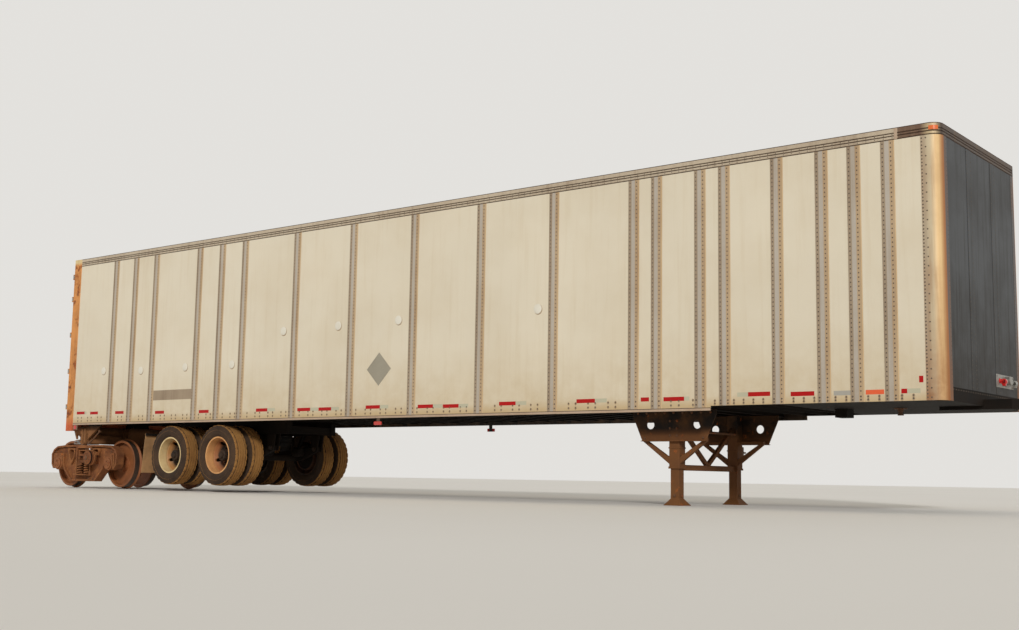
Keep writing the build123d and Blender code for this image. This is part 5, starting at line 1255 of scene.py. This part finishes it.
@dataclass
class Nose:
    """Fittings on the front wall.

    Attributes:
        post_y: Middle of each front post, from the centreline.
        post_columns: Rivet columns of a front post, from its middle.
        flange_inset: Rivet column of a corner flange, inside the wall's edge.
        margin: Gap between the end of a rivet column and the wall's edge.
        rivet_pitch: Distance between a column's rivets.
        sill_inset: Gap between the end of the sill's row and the wall's edge.
        sill_drop: How far the sill's row lies below the lowest rivet of the columns.
        sill_pitch: Distance between the sill's rivets.
        sheet_depth: How far the wall's sheet lies behind the posts' face.
        socket: Y and Z of the socket's middle, between the two air couplings.
        plate_bolts: Bolts of the plate, from its middle across and up.
        air_couplings: Name, place from the socket and finish of each air coupling.
    """

    post_y: float = 0.4
    post_columns: Pair = (-0.063, 0.063)
    flange_inset: float = 0.06
    margin: float = 0.03
    rivet_pitch: float = 0.05
    sill_inset: float = 0.1
    sill_drop: float = 0.055
    sill_pitch: float = 0.075
    sheet_depth: float = 0.003
    socket: Pair = (0.62, 1.50)
    plate_bolts: Pair = (0.28, 0.055)
    air_couplings: tuple[tuple[str, float, Finish], ...] = (
        ("red", -0.19, RED_LENS), ("blue", 0.19, GALVANISED))

    def rivets(self) -> None:
        """Rivet rows on the front posts, the corner flanges and the sill."""
        form = Form("nose_rivets")
        wall_low, wall_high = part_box("front_wall")
        face, half = wall_high.x, wall_high.y
        low = wall_low.z + self.margin
        for height in row(low, WALL_TOP - self.margin, self.rivet_pitch):
            for middle in (-self.post_y, self.post_y):
                for column in self.post_columns:
                    form.rivet((face, middle + column, height), AHEAD, 0.0068, 0.0034)
            for sign in SIGNS:
                place = sign * (half - self.flange_inset)
                form.rivet((at(BODY_LENGTH), place, height), AHEAD, 0.0068, 0.0034)
        for place in row(-half + self.sill_inset, half - self.sill_inset, self.sill_pitch):
            form.rivet((face - self.sheet_depth, place, low - self.sill_drop), AHEAD,
                       0.0085, 0.004)
        form.place(RIVET, "post_taupe")

    def couplings(self) -> None:
        """Electric socket with its lid, and two air couplings, on a plate."""
        back = (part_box("front_wall")[1].x - self.sheet_depth, *self.socket)
        wide, tall, thick = 0.3, 0.075, 0.006
        front = moved(back, (thick, 0, 0))
        form = Form("coupling_plate")
        form.block(moved(back, (0, -wide, -tall)), moved(front, (0, wide, tall)))
        for across in SIGNS:
            for rise in SIGNS:
                spot = (0, across * self.plate_bolts[0], rise * self.plate_bolts[1])
                form.bolt(moved(front, spot), AHEAD, 0.008, 0.008)
        form.lathe(PROFILES["socket"], front, (1, 0, 0.12), 28)
        hinge = ((0.02, -0.03, 0.046), (0.07, 0.03, 0.06))
        form.block(*(moved(back, corner) for corner in hinge), 0.004)
        form.place(GALVANISED, "hardware_steel")
        for name, across, finish in self.air_couplings:
            form = Form(f"air_coupling_{name}")
            foot = moved(front, (0, across, 0))
            form.lathe(PROFILES["coupling_stem"], foot, AHEAD, 20)
            form.lathe(PROFILES["coupling_head"], moved(foot, (0.05, 0, -0.012)), (0, 1, 0), 24)
            claw = ((0.03, -0.012, -0.06), (0.07, 0.02, -0.03))
            form.block(*(moved(foot, corner) for corner in claw), 0.004)
            form.place(finish, "hardware_steel")

    def build(self) -> None:
        """Make every fitting of the nose."""
        self.rivets()
        self.couplings()


@dataclass
class RearEnd:
    """Fittings of the doors and of the rear frame.

    Attributes:
        hinge_heights: Heights of the hinge straps.
        strap_bolts: Bolts of a strap, from the centreline.
        strap_rises: Bolt rows of a strap, from its middle.
        strap_face: Face of a strap, from the rear face.
        rods: Lock rods, from the centreline.
        guides: Heights of the rods' guides.
        guide_columns: Bolts of a guide, from its rod.
        guide_rise: Height of a guide's bolts above its foot.
        guide_face: Face of a guide, from the rear face.
        keeper_gaps: Feet of the rods' keepers: above the door's foot, below its head.
        tape_height: Height of the tape across the doors.
        lamp_places: Middles of the round lamps, across.
        lamp_height: Height of the round lamps.
    """

    hinge_heights: tuple[float, ...] = (1.465, 2.115, 2.785, 3.445, 3.860)
    strap_bolts: Pair = (1.179, 1.129)
    strap_rises: Pair = (-0.015, 0.015)
    strap_face: float = 0.002
    rods: Pair = (0.480, 1.010)
    guides: tuple[float, ...] = (1.420, 2.060, 2.860, 3.640)
    guide_columns: Pair = (-0.012, 0.012)
    guide_rise: float = 0.025
    guide_face: float = -0.022
    keeper_gaps: Pair = (0.02, 0.06)
    tape_height: float = 1.40
    lamp_places: tuple[float, ...] = (-1.130, -1.000, 1.000, 1.130)
    lamp_height: float = 1.200

    def door_seal(self, side: str) -> None:
        """Rubber seal along the four edges of one door."""
        low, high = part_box(f"door_{side}")
        form = Form(f"door_seal_{side}")
        width, depth, edge = 0.018, 0.004, 0.0015
        for start, end in ((low.y, low.y + width), (high.y - width, high.y)):
            form.block((low.x - depth, start, low.z), (low.x, end, high.z), edge)
        for start, end in ((low.z, low.z + width), (high.z - width, high.z)):
            form.block((low.x - depth, low.y, start), (low.x, high.y, end), edge)
        form.place(BELLOWS, "bellows_rubber", f"{side}_door")

    def door_bolts(self, side: str, sign: int) -> None:
        """Bolts of the straps and the guides, and the rods' keepers, on one door."""
        low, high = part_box(f"door_{side}")
        form = Form(f"door_bolts_{side}")
        for height in self.hinge_heights:
            for place in self.strap_bolts:
                for rise in self.strap_rises:
                    form.bolt((at(self.strap_face), sign * place, height + rise), BEHIND,
                              0.008, 0.008)
        inset, half, tall = 0.012, 0.03, 0.045
        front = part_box(f"door_hardware_{side}")[0].x + inset
        for rod in self.rods:
            for guide in self.guides:
                for column in self.guide_columns:
                    form.bolt((at(self.guide_face), sign * (rod + column),
                               guide + self.guide_rise), BEHIND, 0.006, 0.006)
            for height in (low.z + self.keeper_gaps[0], high.z - self.keeper_gaps[1]):
                form.block((front, sign * rod - half, height),
                           (low.x, sign * rod + half, height + tall), 0.004)
        form.place(GALVANISED, "hardware_steel", f"{side}_door")

    def door_rivets(self, side: str) -> None:
        """Rivets up both edges of one door."""
        low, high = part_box(f"door_{side}")
        form = Form(f"door_rivets_{side}")
        across, up = 0.035, 0.05
        for height in row(low.z + up, high.z - up, 0.075):
            for place in (low.y + across, high.y - across):
                form.rivet((low.x, place, height), BEHIND, 0.006, 0.003)
        form.place(DOOR, "door_white", f"{side}_door")

    def door_tape(self, side: str) -> None:
        """Red strips across one door."""
        low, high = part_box(f"door_{side}")
        form = Form(f"door_tape_{side}")
        first, last, pitch = 0.03, 0.21, 0.24
        long, half, depth = 0.2, 0.025, 0.0006
        for start in row(low.y + first, high.y - last, pitch)[::2]:
            form.prism([(0, -half), (long, -half), (long, half), (0, half)],
                       (low.x, start, self.tape_height), (0, 1, 0), (0, 0, 1), -depth)
        form.place(RED_TAPE, "lamp_red", f"{side}_door")

    def lamps(self) -> None:
        """Rubber rings round the lamps."""
        form = Form("lamp_rings")
        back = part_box("rear_frame")[1].x - REAR_POST_LENGTH
        for place in self.lamp_places:
            form.lathe(PROFILES["lamp_ring"], (back, place, self.lamp_height), BEHIND, 40)
        form.place(BELLOWS, "bellows_rubber")

    def build(self) -> None:
        """Make every fitting of the rear end."""
        for side, sign in SIDES:
            self.door_seal(side)
            self.door_bolts(side, sign)
            self.door_rivets(side)
            self.door_tape(side)
        self.lamps()


@dataclass
class LandingGear:
    """Bolts, pins and collars of the landing gear.

    Attributes:
        place: Middle of the legs, from the rear face.
        plate_face: Outer face of a bracket plate, from the centreline.
        top_row: First, last and pitch of a plate's top bolts, from the legs.
        top_z: Height of a plate's top bolts.
        leg_columns: Bolt columns of a plate over a leg, from the leg.
        leg_rows: Their heights.
        ear_columns: Lower bolts of a plate, from the leg.
        ear_z: Their height.
        leg_y: Middle of a leg, from the centreline.
        collars: Collars of a leg: bottom, top, half width.
    """

    place: float = 12.575
    plate_face: float = 0.824
    top_row: Trio = (-0.52, 0.52, 0.13)
    top_z: float = 1.140
    leg_columns: Pair = (-0.05, 0.05)
    leg_rows: tuple[float, ...] = (0.86, 0.95, 1.04)
    ear_columns: Pair = (-0.42, 0.42)
    ear_z: float = 0.83
    leg_y: float = 0.737
    collars: tuple[Trio, ...] = ((0.452, 0.478, 0.0795), (0.700, 0.716, 0.0785))

    def plate_bolts(self) -> list[Trio]:
        """Bolts of a bracket plate: from the leg, height, and radius and height of the head."""
        plain, small = 0.013, 0.012
        return [*((along, self.top_z, plain) for along in row(*self.top_row)),
                *((along, height, plain) for along in self.leg_columns
                  for height in self.leg_rows),
                *((along, self.ear_z, small) for along in self.ear_columns)]

    def bolts(self) -> None:
        """Bolts of the plates and the joints, and the ends of the feet's pins."""
        form = Form("landing_bolts")
        joint, joint_z, joint_size = 0.075, 0.56, 0.014
        pin, pin_z = 0.0585, 0.12
        for sign in SIGNS:
            out = (0, sign, 0)
            for along, height, size in self.plate_bolts():
                form.bolt((at(self.place + along), sign * self.plate_face, height), out, size,
                          size)
            leg = sign * self.leg_y
            for end in SIGNS:
                form.bolt((at(self.place + end * joint), leg, joint_z), (end, 0, 0), joint_size,
                          joint_size)
                form.lathe(PROFILES["foot_pin"], (at(self.place + end * pin), leg, pin_z),
                           (end, 0, 0), 16)
            form.bolt((at(self.place), sign * (self.leg_y + pin), pin_z), out, 0.016,
                      0.016)
        form.place(RUSTY_STEEL, "hardware_steel")

    def leg_collars(self) -> None:
        """Square collars round both legs."""
        form = Form("leg_collars")
        for sign in SIGNS:
            for low, high, reach in self.collars:
                corners = [(reach, -reach), (reach, reach), (-reach, reach), (-reach, -reach)]
                for strip in rims(corners, 0.93):
                    form.prism(strip, (at(self.place), sign * self.leg_y, low), (1, 0, 0),
                               (0, 1, 0), high - low)
        form.place(GEAR, "gear_brown")

    def build(self) -> None:
        """Make the small parts of both legs."""
        self.bolts()
        self.leg_collars()


@dataclass
class RoadWheel:
    """Twin tyres, nuts, hub cap and valve stem of one road wheel.

    Attributes:
        place: "rear" or "front".
        side: "right" or "left".
        sign: -1 on the right, 1 on the left.
        centre_x: X of the axle.
        axle_z: Height of the axle.
        middle: Face that both wheels are bolted to, from the centreline.
        spacing: Half of the distance between the twin tyres.
        radius: Outer radius of a tyre.
        steps: Steps round a tyre.
        slot_depth: Depth of a shoulder slot.
        groove: Half width of the grooved tread, and depth from which a groove is dark.
        rib: Inner and outer radius of the pale ring on the sidewall.
        crown: Half width and depth of the tread's pale surface.
    """

    place: str
    side: str
    sign: int
    centre_x: float
    axle_z: float = 0.595
    middle: float = 0.951
    spacing: float = 0.1715
    radius: float = 0.490
    steps: int = 180
    slot_depth: float = 0.009
    groove: Pair = (0.08, 0.008)
    rib: Pair = (0.3995, 0.4035)
    crown: Pair = (0.114, 0.016)

    @property
    def body(self) -> str:
        """The body that carries the wheel."""
        return f"road_wheels_{self.place}_{self.side}"

    def tread_profile(self) -> list[tuple[float, float, bool]]:
        """Half section of a tyre: across, radius, and whether shoulder slots cut it."""
        r = self.radius
        side = ((0.098, 0.2985), (0.107, 0.303), (0.114, 0.312), (0.124, 0.328),
                (0.1275, 0.331), (0.1345, 0.348), (0.1395, 0.370), (0.1422, 0.390),
                (0.1420, 0.3955), (0.1400, 0.3975), (0.1400, 0.4015), (0.1414, 0.4035),
                (0.1380, 0.420), (0.1310, 0.440))
        shoulder = ((0.1260, 0.452), (0.1210, 0.467), (0.1165, r - 0.014), (0.1100, r - 0.0060),
                    (0.0780, r - 0.0030))
        tread = ((0.0770, r - 0.0150), (0.0700, r - 0.0150), (0.0690, r - 0.0022),
                 (0.0300, r - 0.0008), (0.0290, r - 0.0140), (0.0220, r - 0.0140),
                 (0.0210, r - 0.0004), (0.0, r))
        return [(across, radius, part is shoulder) for part in (side, shoulder, tread)
                for across, radius in part]

    def shade(self, face: bmesh.types.BMFace) -> int:
        """Material number of a tyre's face: 1 on the tread's crown and the pale ring."""
        middle = face.calc_center_median()
        reach = math.hypot(middle.x - self.centre_x, middle.z - self.axle_z)
        across = abs(abs(abs(middle.y) - self.middle) - self.spacing)
        groove = across < self.groove[0] and reach < self.radius - self.groove[1]
        rib = self.rib[0] < reach < self.rib[1]
        crown = across < self.crown[0] and reach > self.radius - self.crown[1]
        return int(rib or crown and not groove)

    def tyres(self) -> None:
        """Both tyres of the wheel, with grooved treads and slotted shoulders."""
        form = Form(f"tyres_{self.place}_{self.side}")
        half = self.tread_profile()
        profile = half + [(-across, radius, slot) for across, radius, slot in reversed(half[:-1])]
        turn = 2 * math.pi / self.steps
        pitch, width = 6, 2
        for centre in (self.middle - self.spacing, self.middle + self.spacing):
            rings = []
            for across, radius, slotted in profile:
                circle = []
                for step in range(self.steps):
                    reach = radius - (self.slot_depth if slotted and step % pitch < width else 0)
                    circle.append(form.mesh.verts.new((
                        self.centre_x + reach * math.cos(step * turn),
                        self.sign * (centre + across),
                        self.axle_z + reach * math.sin(step * turn))))
                rings.append(circle)
            for one, two in zip(rings, rings[1:] + rings[:1]):
                form.bridge(one, two)
        for face in form.mesh.faces:
            face.material_index = self.shade(face)
        form.place(TYRE, "tyre_rubber", self.body, (f"road_tyres_{self.place}_{self.side}",),
                   angle=28, second=TYRE_TREAD)

    def hub(self) -> None:
        """Nuts on their studs, the hub, and its cap with the cap's bolts."""
        form = Form(f"hub_nuts_{self.place}_{self.side}")
        out = (0, self.sign, 0)
        axle = (self.centre_x, self.sign * self.middle, self.axle_z)
        count, circle, face = 10, 0.1428, 0.010
        for spot in around((self.centre_x, self.sign * (self.middle + face), self.axle_z), circle,
                           count, 180 / count):
            form.bolt(spot, out, 0.0165, 0.028)
            form.lathe(PROFILES["stud"], spot, out, 12)
        count, circle, face = 6, 0.076, 0.181
        for spot in around((self.centre_x, self.sign * (self.middle + face), self.axle_z), circle,
                           count):
            form.bolt(spot, out, 0.006, 0.007)
        form.lathe(PROFILES["oil_cap"], axle, out, 32)
        form.lathe(PROFILES["hub"], axle, out, 40)
        form.place(HUB, "hardware_steel", self.body)

    def valve_stem(self) -> None:
        """Valve stem of the outer tyre."""
        form = Form(f"valve_stems_{self.place}_{self.side}")
        reach, turn = 0.262, 0.9
        x = self.centre_x + reach * math.cos(turn)
        z = self.axle_z + reach * math.sin(turn)
        form.tube([(x, self.sign * (self.middle + end), z) for end in (0.083, 0.133)], 0.005, 8)
        form.place(GALVANISED, "hardware_steel", self.body)

    def build(self) -> None:
        """Make the wheel's tyres and small parts."""
        self.tyres()
        self.hub()
        self.valve_stem()


@dataclass
class Suspension:
    """Bolts and dampers of the road suspension.

    Attributes:
        axles: Places of the axles, from the rear face.
        axle_z: Height of the axles.
        rail_y: Middle of the frame rails.
        damper_y: How far the dampers stand out of the frame rails.
        damper_foot: Foot of a damper, from the axle and above it.
        damper_head: Head of a damper: from the axle, and height above the floor.
    """

    axles: Pair = (3.020, 4.265)
    axle_z: float = 0.595
    rail_y: float = 0.48
    damper_y: float = 0.065
    damper_foot: Pair = (-0.12, 0.02)
    damper_head: Pair = (0.10, 0.985)

    def axle_bolts(self, form: Form, axle: float, sign: int) -> None:
        """Bolts of one axle's arm, clip and air spring on one side."""
        y = sign * self.rail_y
        ahead, half, height = 0.495, 0.060, 0.735
        for way in (sign, -sign):
            form.bolt((at(axle + ahead), y + way * half, height), (0, way, 0), 0.032, 0.03)
        along, across, rise = 0.075, 0.03, 0.10
        for end in SIGNS:
            for way in SIGNS:
                form.bolt((at(axle + end * along), y + way * across, self.axle_z + rise),
                          (0, 0, 1), 0.014, 0.03)
        behind, apart, height = 0.3, 0.10, 0.66
        for end in SIGNS:
            form.bolt((at(axle - behind + end * apart), y, height), (0, 0, -1), 0.012, 0.014)

    def damper(self, form: Form, axle: float, sign: int) -> None:
        """Damper of one axle on one side."""
        y = sign * self.rail_y + sign * self.damper_y
        low = (at(axle + self.damper_foot[0]), y, self.axle_z + self.damper_foot[1])
        high = (at(axle + self.damper_head[0]), y, self.damper_head[1])
        rod, barrel = 0.02, 0.034
        radius, half = 0.026, 0.03
        form.tube([low, high], rod, 14)
        form.tube([Vector(low).lerp(Vector(high), 0.45), high], barrel, 18)
        for end in (low, high):
            form.pin(end, (0, sign, 0), radius, -half, half, 18)

    def build(self) -> None:
        """Make the bolts and dampers of both axles."""
        bolts = Form("suspension_bolts")
        dampers = Form("dampers")
        for axle in self.axles:
            for sign in SIGNS:
                self.axle_bolts(bolts, axle, sign)
                self.damper(dampers, axle, sign)
        bolts.place(HUB, "hardware_steel")
        dampers.place(BLACK_AND_SHADE, "underframe_black")


@dataclass
class Bogie:
    """Small parts of the rail bogie, and the lever and pipe of the adapter above it.

    Attributes:
        centre: X of the bogie's middle.
        frame_y: Middle of a side frame, from the centreline.
        seat: Height of the spring seats.
        spring_top: Height of the bolster's underside at the springs.
        spring_places: Spring middles, along and across.
        coils: Coils of a spring: radius of the middle line, radius of the wire, turns.
        coil_end: Share of a coil that lies flat at each end.
        frame_face: Face of a side frame, from its middle.
        frame_bolts: Bolts of a side frame: from the bogie's middle, height, radius.
        keeper_bolts: Bolts of a bearing's keeper: from the axle, height, radius.
        bearer_y: Middle of a side bearer, from the centreline.
        wheelbase: Half of the distance between the axles.
        axle_z: Height of the axles.
        axle_end: End face of an axle, from the centreline.
        cylinder_place: Middle of the brake cylinder, ahead of the bogie's middle.
        cylinder_z: Height of the brake cylinder.
        hand_y: Y of the release lever.
        lever_foot: Foot of the lever, from the rear face, and its height above the side frame.
        lever_head: Head of the lever: from the rear face, and height.
        pipe: Points of the bent pipe: from the rear face, from the centreline, height.
    """

    centre: float = at(0.285)
    frame_y: float = 1.0035
    seat: float = 0.255
    spring_top: float = 0.455
    spring_places: Pairs = ((-0.115, -0.062), (-0.115, 0.062), (0.115, -0.062), (0.115, 0.062))
    coils: tuple[Trio, ...] = ((0.047, 0.013, 5.0), (0.022, 0.008, 8.0))
    coil_end: float = 0.1
    frame_face: float = 0.080
    frame_bolts: tuple[Trio, ...] = (
        (-0.34, 0.168, 0.012), (-0.20, 0.168, 0.012), (0.20, 0.168, 0.012),
        (0.34, 0.168, 0.012), (-0.25, 0.700, 0.013), (0.25, 0.700, 0.013))
    keeper_bolts: tuple[Trio, ...] = ((-0.085, 0.655, 0.013), (0.085, 0.655, 0.013))
    bearer_y: float = 0.635
    wheelbase: float = 0.785
    axle_z: float = 0.445
    axle_end: float = 1.120
    cylinder_place: float = 0.390
    cylinder_z: float = 0.545
    hand_y: float = -1.103
    lever_foot: Pair = (0.50, 0.812)
    lever_head: Pair = (0.80, 1.02)
    pipe: tuple[Point, ...] = (
        (0.345, 1.045, 0.805), (0.345, 1.064, 0.822), (0.300, 1.068, 0.855),
        (0.200, 1.068, 0.873), (0.100, 1.068, 0.868), (0.020, 1.068, 0.845),
        (-0.040, 1.068, 0.818), (-0.035, 1.066, 0.799), (0.040, 1.064, 0.797),
        (0.115, 1.061, 0.799), (0.130, 1.045, 0.803))

    def coil(self, form: Form, x: float, y: float, radius: float, wire: float,
             turns: float) -> None:
        """One coil spring with closed ends."""
        height = self.spring_top - self.seat - 2 * wire
        count = round(turns * 20)
        path = []
        for step in range(count + 1):
            share = step / count
            rise = min(1.0, max(0.0, (share - self.coil_end) / (1 - 2 * self.coil_end)))
            turn = 2 * math.pi * turns * share
            path.append((x + radius * math.cos(turn), y + radius * math.sin(turn),
                         self.seat + wire + rise * height))
        form.tube(path, wire, 10)

    def springs(self) -> None:
        """Nested coils between the seats and the bolster."""
        form = Form("coil_springs")
        for sign in SIGNS:
            for along, across in self.spring_places:
                for size in self.coils:
                    self.coil(form, self.centre + along, sign * self.frame_y + across, *size)
        form.place(CASTING, "cast_brown", "bogie", ("bogie_springs",))

    def bolts(self) -> None:
        """Bolts on the side frames and the bearings' keepers."""
        form = Form("bogie_bolts")
        keepers = [(end * self.wheelbase + along, height, radius) for end in SIGNS
                   for along, height, radius in self.keeper_bolts]
        for sign in SIGNS:
            face = sign * (self.frame_y + self.frame_face)
            for along, height, radius in (*self.frame_bolts, *keepers):
                form.bolt((self.centre + along, face, height), (0, sign, 0), radius, 0.012)
        form.place(RUSTY_STEEL, "hardware_steel", "bogie")

    def bearers(self) -> None:
        """Side bearers with their rollers, on the bolster."""
        form = Form("side_bearers")
        long, wide, low, high, edge = 0.11, 0.05, 0.695, 0.745, 0.006
        height, radius, half = 0.756, 0.022, 0.04
        for sign in SIGNS:
            y = sign * self.bearer_y
            form.block((self.centre - long, y - wide, low), (self.centre + long, y + wide, high),
                       edge)
            form.pin((self.centre, y, height), (0, 1, 0), radius, -half, half, 20)
        form.place(CASTING, "cast_brown", "bogie")

    def end_caps(self) -> None:
        """Bearing end caps with a ring of bolts and a locking plate, on each axle end."""
        for place, end in ENDS:
            form = Form(f"end_caps_{place}")
            for sign in SIGNS:
                centre = (self.centre + end * self.wheelbase, sign * self.axle_end, self.axle_z)
                out = (0, sign, 0)
                for spot in around(centre, 0.052, 3, 90):
                    form.bolt(spot, out, 0.017, 0.018)
                form.lathe(PROFILES["lock_plate"], centre, out, 20)
                form.lathe(PROFILES["bearing"], centre, out, 40)
            form.place(WHEEL, "wheel_steel", f"rail_wheels_{place}")

    def treads(self) -> None:
        """Polished running bands of the wheels."""
        for place, end in ENDS:
            form = Form(f"running_bands_{place}")
            for sign in SIGNS:
                centre = (self.centre + end * self.wheelbase, 0, self.axle_z)
                form.lathe(PROFILES["running_band"], centre, (0, sign, 0), 96, closed=True)
            form.place(TREAD, "wheel_steel", f"rail_wheels_{place}")

    def cylinder(self) -> None:
        """Clamp ring, bolts and push-rod nut of the brake cylinder."""
        x, z = self.centre + self.cylinder_place, self.cylinder_z
        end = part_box("brake_cylinder")[0].y
        out = (0, -1, 0)
        ring = Form("cylinder_ring")
        ring.lathe(PROFILES["clamp_ring"], (x, end + 0.048, z), out, 48, closed=True)
        ring.place(BLACK_AND_SHADE, "underframe_black", "bogie")
        bolts = Form("cylinder_bolts")
        bolts.lathe(PROFILES["rod_nut"], (x, end, z), out, 32)
        count, circle, foot = 8, 0.085, 0.0045
        for spot in around((x, end + foot, z), circle, count, 180 / count):
            bolts.bolt(spot, out, 0.009, 0.0095)
        bolts.place(RUSTY_STEEL, "hardware_steel", "bogie")

    def adapter_parts(self) -> None:
        """Release lever and bent air pipe on the right end of the adapter above the bogie."""
        lever = Form("release_lever")
        ends = [(at(along), self.hand_y, height)
                for along, height in (self.lever_foot, self.lever_head)]
        lever.tube(ends, 0.013, 10)
        for end in ends:
            lever.pin(end, (0, -1, 0), 0.024, 0.024, -0.014, 18)
        lever.place(RUSTY_STEEL, "hardware_steel")
        pipe = Form("adapter_pipe")
        line = [(at(along), -out, height) for along, out, height in self.pipe]
        pipe.tube(curve(line, 6), 0.008, 8)
        pipe.place(GALVANISED, "hardware_steel")

    def build(self) -> None:
        """Make the bogie's and the adapter's small parts."""
        self.springs()
        self.bolts()
        self.bearers()
        self.end_caps()
        self.treads()
        self.cylinder()
        self.adapter_parts()


@dataclass
class Studio:
    """Camera, floor and light.

    Attributes:
        sensor: Width of the camera's sensor, in millimetres.
        focal_share: Focal length as a share of the picture's width.
        camera_place: Where the camera stands.
        heading: Degrees that the view turns from the left side's direction to the rear.
        pitch: Degrees that the view looks up.
        roll: Degrees that the camera leans.
        floor_tones: Darker and paler colour of the floor.
        sky: Colour of the surroundings.
        sky_strengths: Their strength as light, and as the camera and mirrors see them.
        lamps: Name, turn in degrees, power and spread in degrees of each lamp.
    """

    sensor: float = 36
    focal_share: float = 1277.05 / 1019
    camera_place: Point = (at(20.890), -14.505, 0.308)
    heading: float = 38.668
    pitch: float = 7.261
    roll: float = 0.920
    floor_tones: tuple[Colour, Colour] = (srgb(226, 221, 212), srgb(236, 232, 224))
    sky: Colour = srgb(238, 236, 232)
    sky_strengths: Pair = (0.5, 0.9)
    lamps: tuple[tuple[str, Point, float, float], ...] = (
        ("key", (66, 0, 40), 1.75, 8), ("fill", (60, 0, 200), 0.3, 40))

    def camera(self) -> None:
        """Camera at the photograph's viewing angle."""
        heading, pitch, roll = (math.radians(angle)
                                for angle in (self.heading, self.pitch, self.roll))
        view = Vector((-math.sin(heading) * math.cos(pitch), math.cos(heading) * math.cos(pitch),
                       math.sin(pitch)))
        right = Vector((math.cos(heading), math.sin(heading), 0))
        up = right.cross(view)
        leaned_right = math.cos(roll) * right + math.sin(roll) * up
        leaned_up = math.cos(roll) * up - math.sin(roll) * right
        turn = Matrix((leaned_right, leaned_up, -view)).transposed().to_4x4()
        data = bpy.data.cameras.new("camera")
        data.sensor_width = self.sensor
        data.lens = self.sensor * self.focal_share
        data.clip_start, data.clip_end = (0.05, 400)
        camera = bpy.data.objects.new("camera", data)
        camera.matrix_world = Matrix.Translation(self.camera_place) @ turn
        bpy.context.scene.collection.objects.link(camera)
        bpy.context.scene.camera = camera

    def floor(self) -> None:
        """Plain pale floor."""
        data = bpy.data.meshes.new("studio_floor")
        reach = 160
        data.from_pydata([(-reach, -reach, 0), (reach, -reach, 0), (reach, reach, 0),
                          (-reach, reach, 0)], [], [(0, 1, 2, 3)])
        material = bpy.data.materials.new("studio_floor")
        material.use_nodes = True
        graph = Graph(material.node_tree)
        shader = graph.add("ShaderNodeBsdfPrincipled", {"Roughness": 0.9})
        colour = graph.blend(graph.noise(0.12, 3, 0.5), *self.floor_tones)
        graph.feed(colour, shader.inputs["Base Color"])
        output = graph.add("ShaderNodeOutputMaterial")
        graph.feed(shader.outputs["BSDF"], output.inputs["Surface"])
        data.materials.append(material)
        floor = bpy.data.objects.new("studio_floor", data)
        bpy.context.scene.collection.objects.link(floor)

    def light(self) -> None:
        """Pale surroundings, one broad lamp over the right side, and a weak one opposite."""
        world = bpy.data.worlds.new("studio")
        bpy.context.scene.world = world
        world.use_nodes = True
        graph = Graph(world.node_tree)
        path = graph.add("ShaderNodeLightPath").outputs
        seen = graph.math("ADD", graph.math("ADD", path["Is Camera Ray"], path["Is Glossy Ray"]),
                          path["Is Transmission Ray"])
        strength = graph.remap(seen, 0.0, 1.0, self.sky_strengths)
        back = graph.add("ShaderNodeBackground", {"Color": self.sky, "Strength": strength})
        output = graph.add("ShaderNodeOutputWorld")
        graph.feed(back.outputs["Background"], output.inputs["Surface"])
        for name, turn, power, spread in self.lamps:
            data = bpy.data.lights.new(name, "SUN")
            data.energy = power
            data.angle = math.radians(spread)
            lamp = bpy.data.objects.new(name, data)
            lamp.rotation_euler = [math.radians(angle) for angle in turn]
            bpy.context.scene.collection.objects.link(lamp)

    def build(self) -> None:
        """Set the camera, the floor and the light."""
        self.camera()
        self.floor()
        self.light()
        bpy.context.scene.view_settings.view_transform = "Standard"


def main() -> None:
    """Build the scene and report each piece."""
    logging.basicConfig(level=logging.INFO, format="%(message)s")
    Studio().build()
    dress_model()
    for side, sign in SIDES:
        SideWall(side, sign).build()
    RoofEdge().build()
    Nose().build()
    RearEnd().build()
    LandingGear().build()
    for place, _ in ENDS:
        for side, sign in SIDES:
            low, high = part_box(f"road_tyres_{place}_{side}")
            RoadWheel(place, side, sign, (low.x + high.x) / 2).build()
    Suspension().build()
    Bogie().build()


if __name__ == "__main__":
    main()
